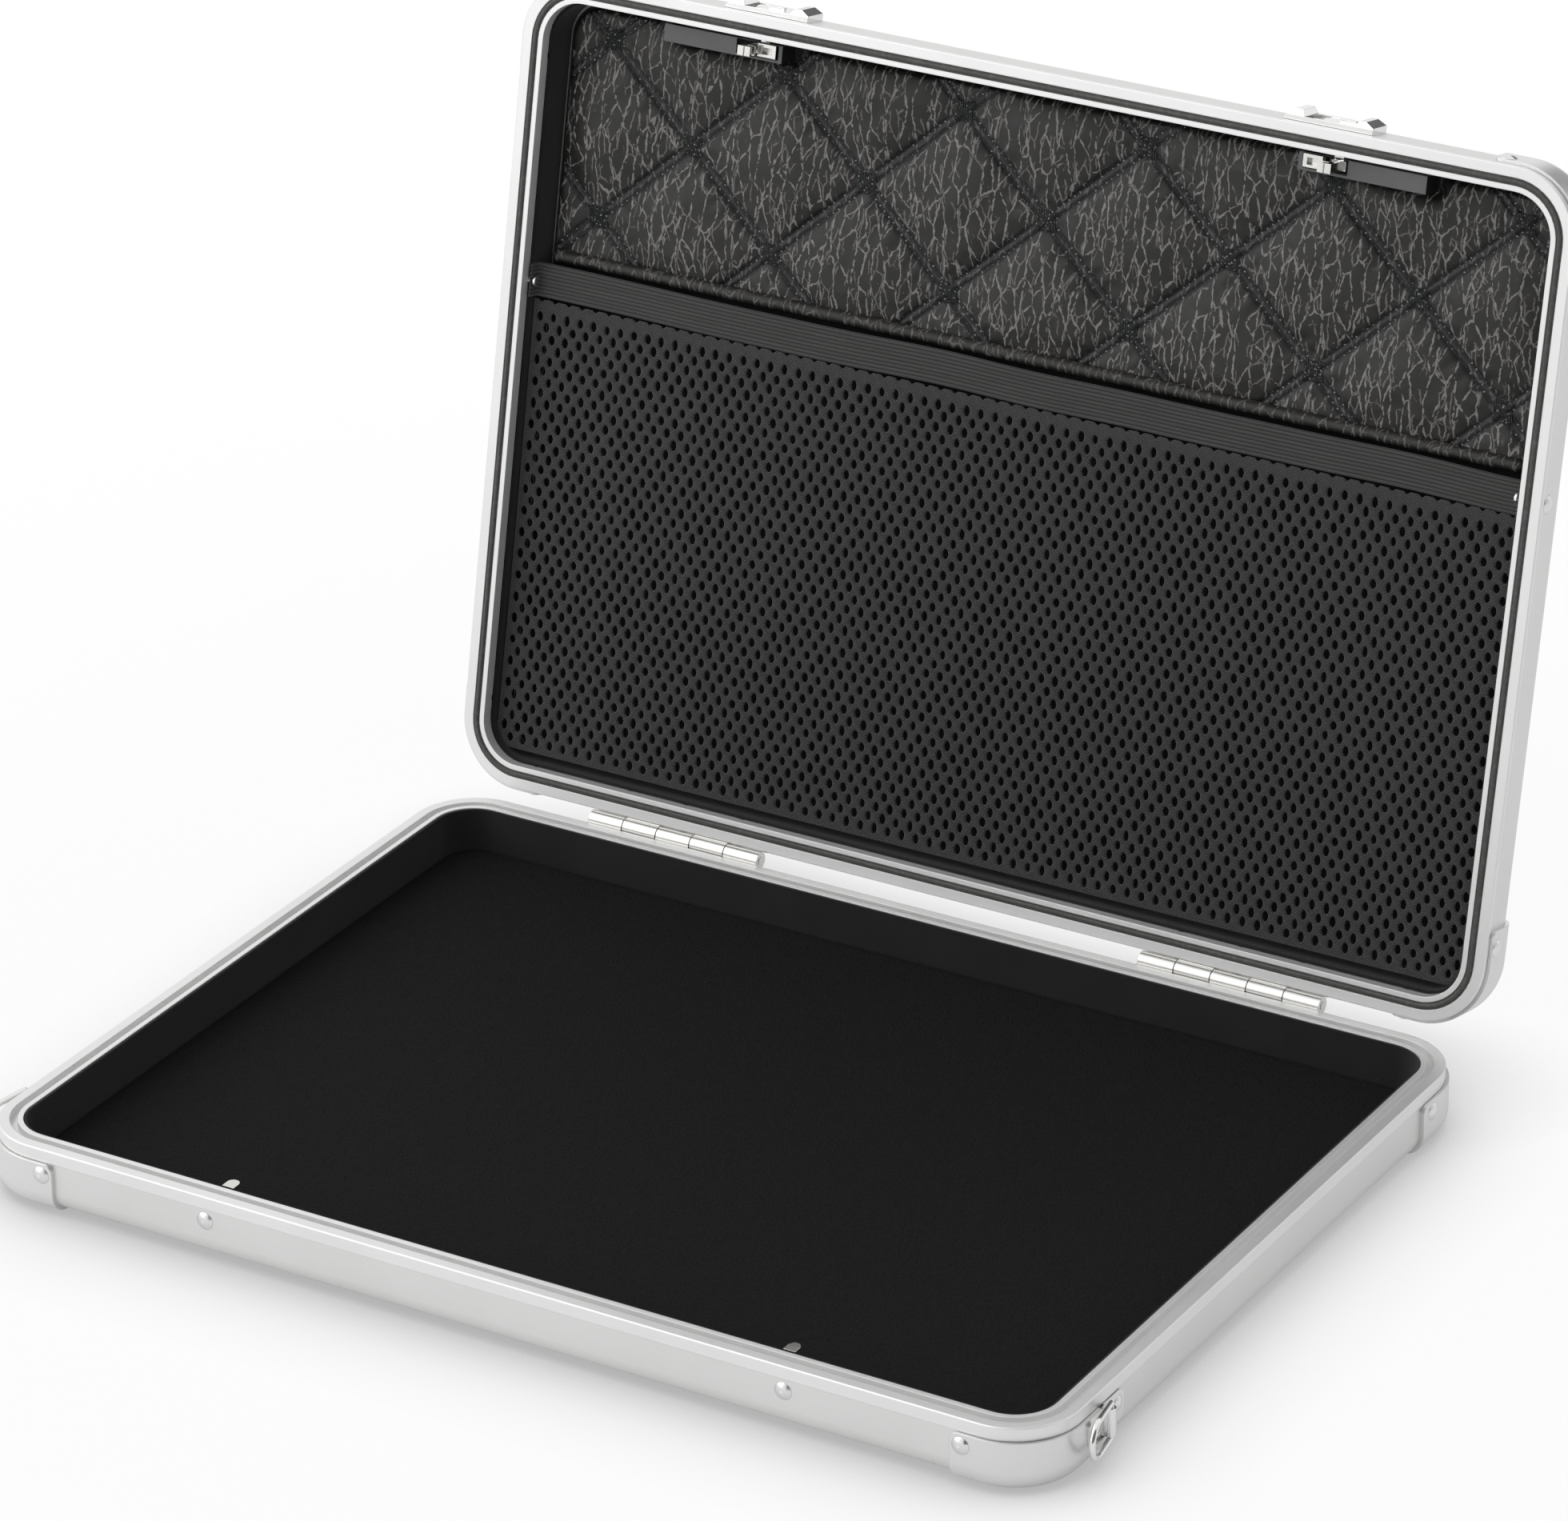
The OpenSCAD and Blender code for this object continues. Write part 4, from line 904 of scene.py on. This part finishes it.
FINISH = {"lid_seal": SEAL, "latch_screws": NICKEL}
for part in ("base", "lid"):
    FINISH.update({part + "_shell": SHELL, part + "_frame": FRAME, part + "_cap_rivets": RIVET})
    for place in ("fl", "fr", "rl", "rr"):
        FINISH[part + "_cap_" + place] = CAP
for part in ("strike", "bracket", "hinge_base", "band", "hinge_lid"):
    FINISH[part + "_rivets"] = RIVET
for side in ("left", "right"):
    for part in ("ring", "ring_bracket", "latch_plate", "latch_slide"):
        FINISH[part + "_" + side] = CHROME
    for part in ("strike", "hinge_base", "hinge_pin", "hinge_lid", "latch_bolt", "latch_guide"):
        FINISH[part + "_" + side] = NICKEL
    FINISH["latch_cover_" + side] = COVER
for name, material in FINISH.items():
    node = NODES[name]
    if not node.material_slots:
        node.data.materials.append(material)
    for place in node.material_slots:
        place.material = material


# ---------- floor, world and lamps ----------

FLOOR_HALF = 9.0
SHADOW_REACH = 0.045  # how far the contact shadow reaches from the case, m


def seen_by(nodes, glossy=1.0):
    """1 for camera and transmission rays, and the given share for glossy rays."""
    path = nodes.add("LightPath")
    shiny = nodes.times(path.outputs["Is Glossy Ray"], glossy)
    total = nodes.most(path.outputs["Is Camera Ray"], shiny)
    return nodes.most(total, path.outputs["Is Transmission Ray"])


def blended(nodes, output, share, first, second):
    """Mixes two shaders into the output's surface."""
    mix = nodes.add("MixShader")
    for socket, value in zip(mix.inputs, (share, first.outputs[0], second.outputs[0])):
        nodes.put(socket, value)
    nodes.put(nodes.add(output).inputs["Surface"], mix.outputs[0])


def make_floor():
    """White floor: plain far from the case, with its shadow and a contact shadow near it."""
    mesh = bpy.data.meshes.new("floor")
    signs = ((-1, -1), (1, -1), (1, 1), (-1, 1))
    corners = [(x * FLOOR_HALF, y * FLOOR_HALF, 0) for x, y in signs]
    mesh.from_pydata(corners, [], [(0, 1, 2, 3)])
    ground = bpy.data.objects.new("floor", mesh)
    bpy.context.scene.collection.objects.link(ground)
    material = bpy.data.materials.new("floor")
    material.use_nodes = True
    nodes = Nodes(material.node_tree)
    lit = nodes.add("BsdfDiffuse")
    nodes.put(lit.inputs["Color"], (0.97, 0.97, 0.97))
    sky = nodes.add("AmbientOcclusion", samples=8)
    nodes.put(sky.inputs["Distance"], SHADOW_REACH)
    white = nodes.add("Emission")
    nodes.put(white.inputs["Strength"], 1.0)
    contact = nodes.step(sky.outputs["AO"], 0.35, 0.96, 0.47, 1.0, "LINEAR")
    nodes.put(white.inputs["Color"], contact)
    away = nodes.add("VectorMath", operation="LENGTH")
    nodes.put(away.inputs[0], nodes.place())
    plain = nodes.step(away.outputs["Value"], 0.28, 0.60, 0.90, 1.0, "LINEAR")
    blended(nodes, "OutputMaterial", nodes.times(seen_by(nodes, 0.5), plain), lit, white)
    mesh.materials.append(material)


# dark cards of the studio: direction, half-angle and soft edge in degrees, depth
CARDS = (
    ((0.05, 0.94, 0.34), 13, 6, 0.85),
    ((0.75, -0.60, 0.35), 34, 14, 0.85),
    ((1.0, 0.25, 0.05), 24, 22, 0.3),
)


def make_world():
    """Even studio light; in reflections the white room has dark cards, which give bright
    metal its contrast."""
    world = bpy.data.worlds.new("studio")
    bpy.context.scene.world = world
    world.use_nodes = True
    nodes = Nodes(world.node_tree)
    room = nodes.add("Background")
    nodes.put(room.inputs["Color"], (0.98, 0.99, 1.0))
    nodes.put(room.inputs["Strength"], 0.64)
    where = nodes.add("TexCoord").outputs["Generated"]
    level = 1.0
    for toward, wide, soft, depth in CARDS:
        dot = nodes.add("VectorMath", operation="DOT_PRODUCT")
        nodes.put(dot.inputs[0], where)
        nodes.put(dot.inputs[1], Vector(toward).normalized())
        outer, inner = (math.cos(math.radians(a)) for a in (wide + soft, wide))
        card = nodes.step(dot.outputs["Value"], outer, inner, 1.0, 1.0 - depth)
        level = nodes.times(level, card)
    pick = nodes.add("Mix", data_type="FLOAT")
    nodes.put(pick.inputs[0], nodes.add("LightPath").outputs["Is Glossy Ray"])
    nodes.put(pick.inputs[2], 1.0)
    nodes.put(pick.inputs[3], level)
    seen = nodes.add("Background")
    nodes.put(seen.inputs["Color"], (1.0, 1.0, 1.0))
    nodes.put(seen.inputs["Strength"], pick.outputs[0])
    blended(nodes, "OutputWorld", seen_by(nodes), room, seen)


def lamp(name, power, size, place, aim):
    data = bpy.data.lights.new(name, "AREA")
    data.energy, data.size = power, size
    made = bpy.data.objects.new(name, data)
    made.location = place
    made.rotation_mode = "QUATERNION"
    made.rotation_quaternion = (Vector(aim) - Vector(place)).to_track_quat("-Z", "Y")
    bpy.context.scene.collection.objects.link(made)


make_floor()
make_world()
lamp("key", 36.0, 3.2, (-1.9, -1.4, 1.7), (0, 0, 0.1))
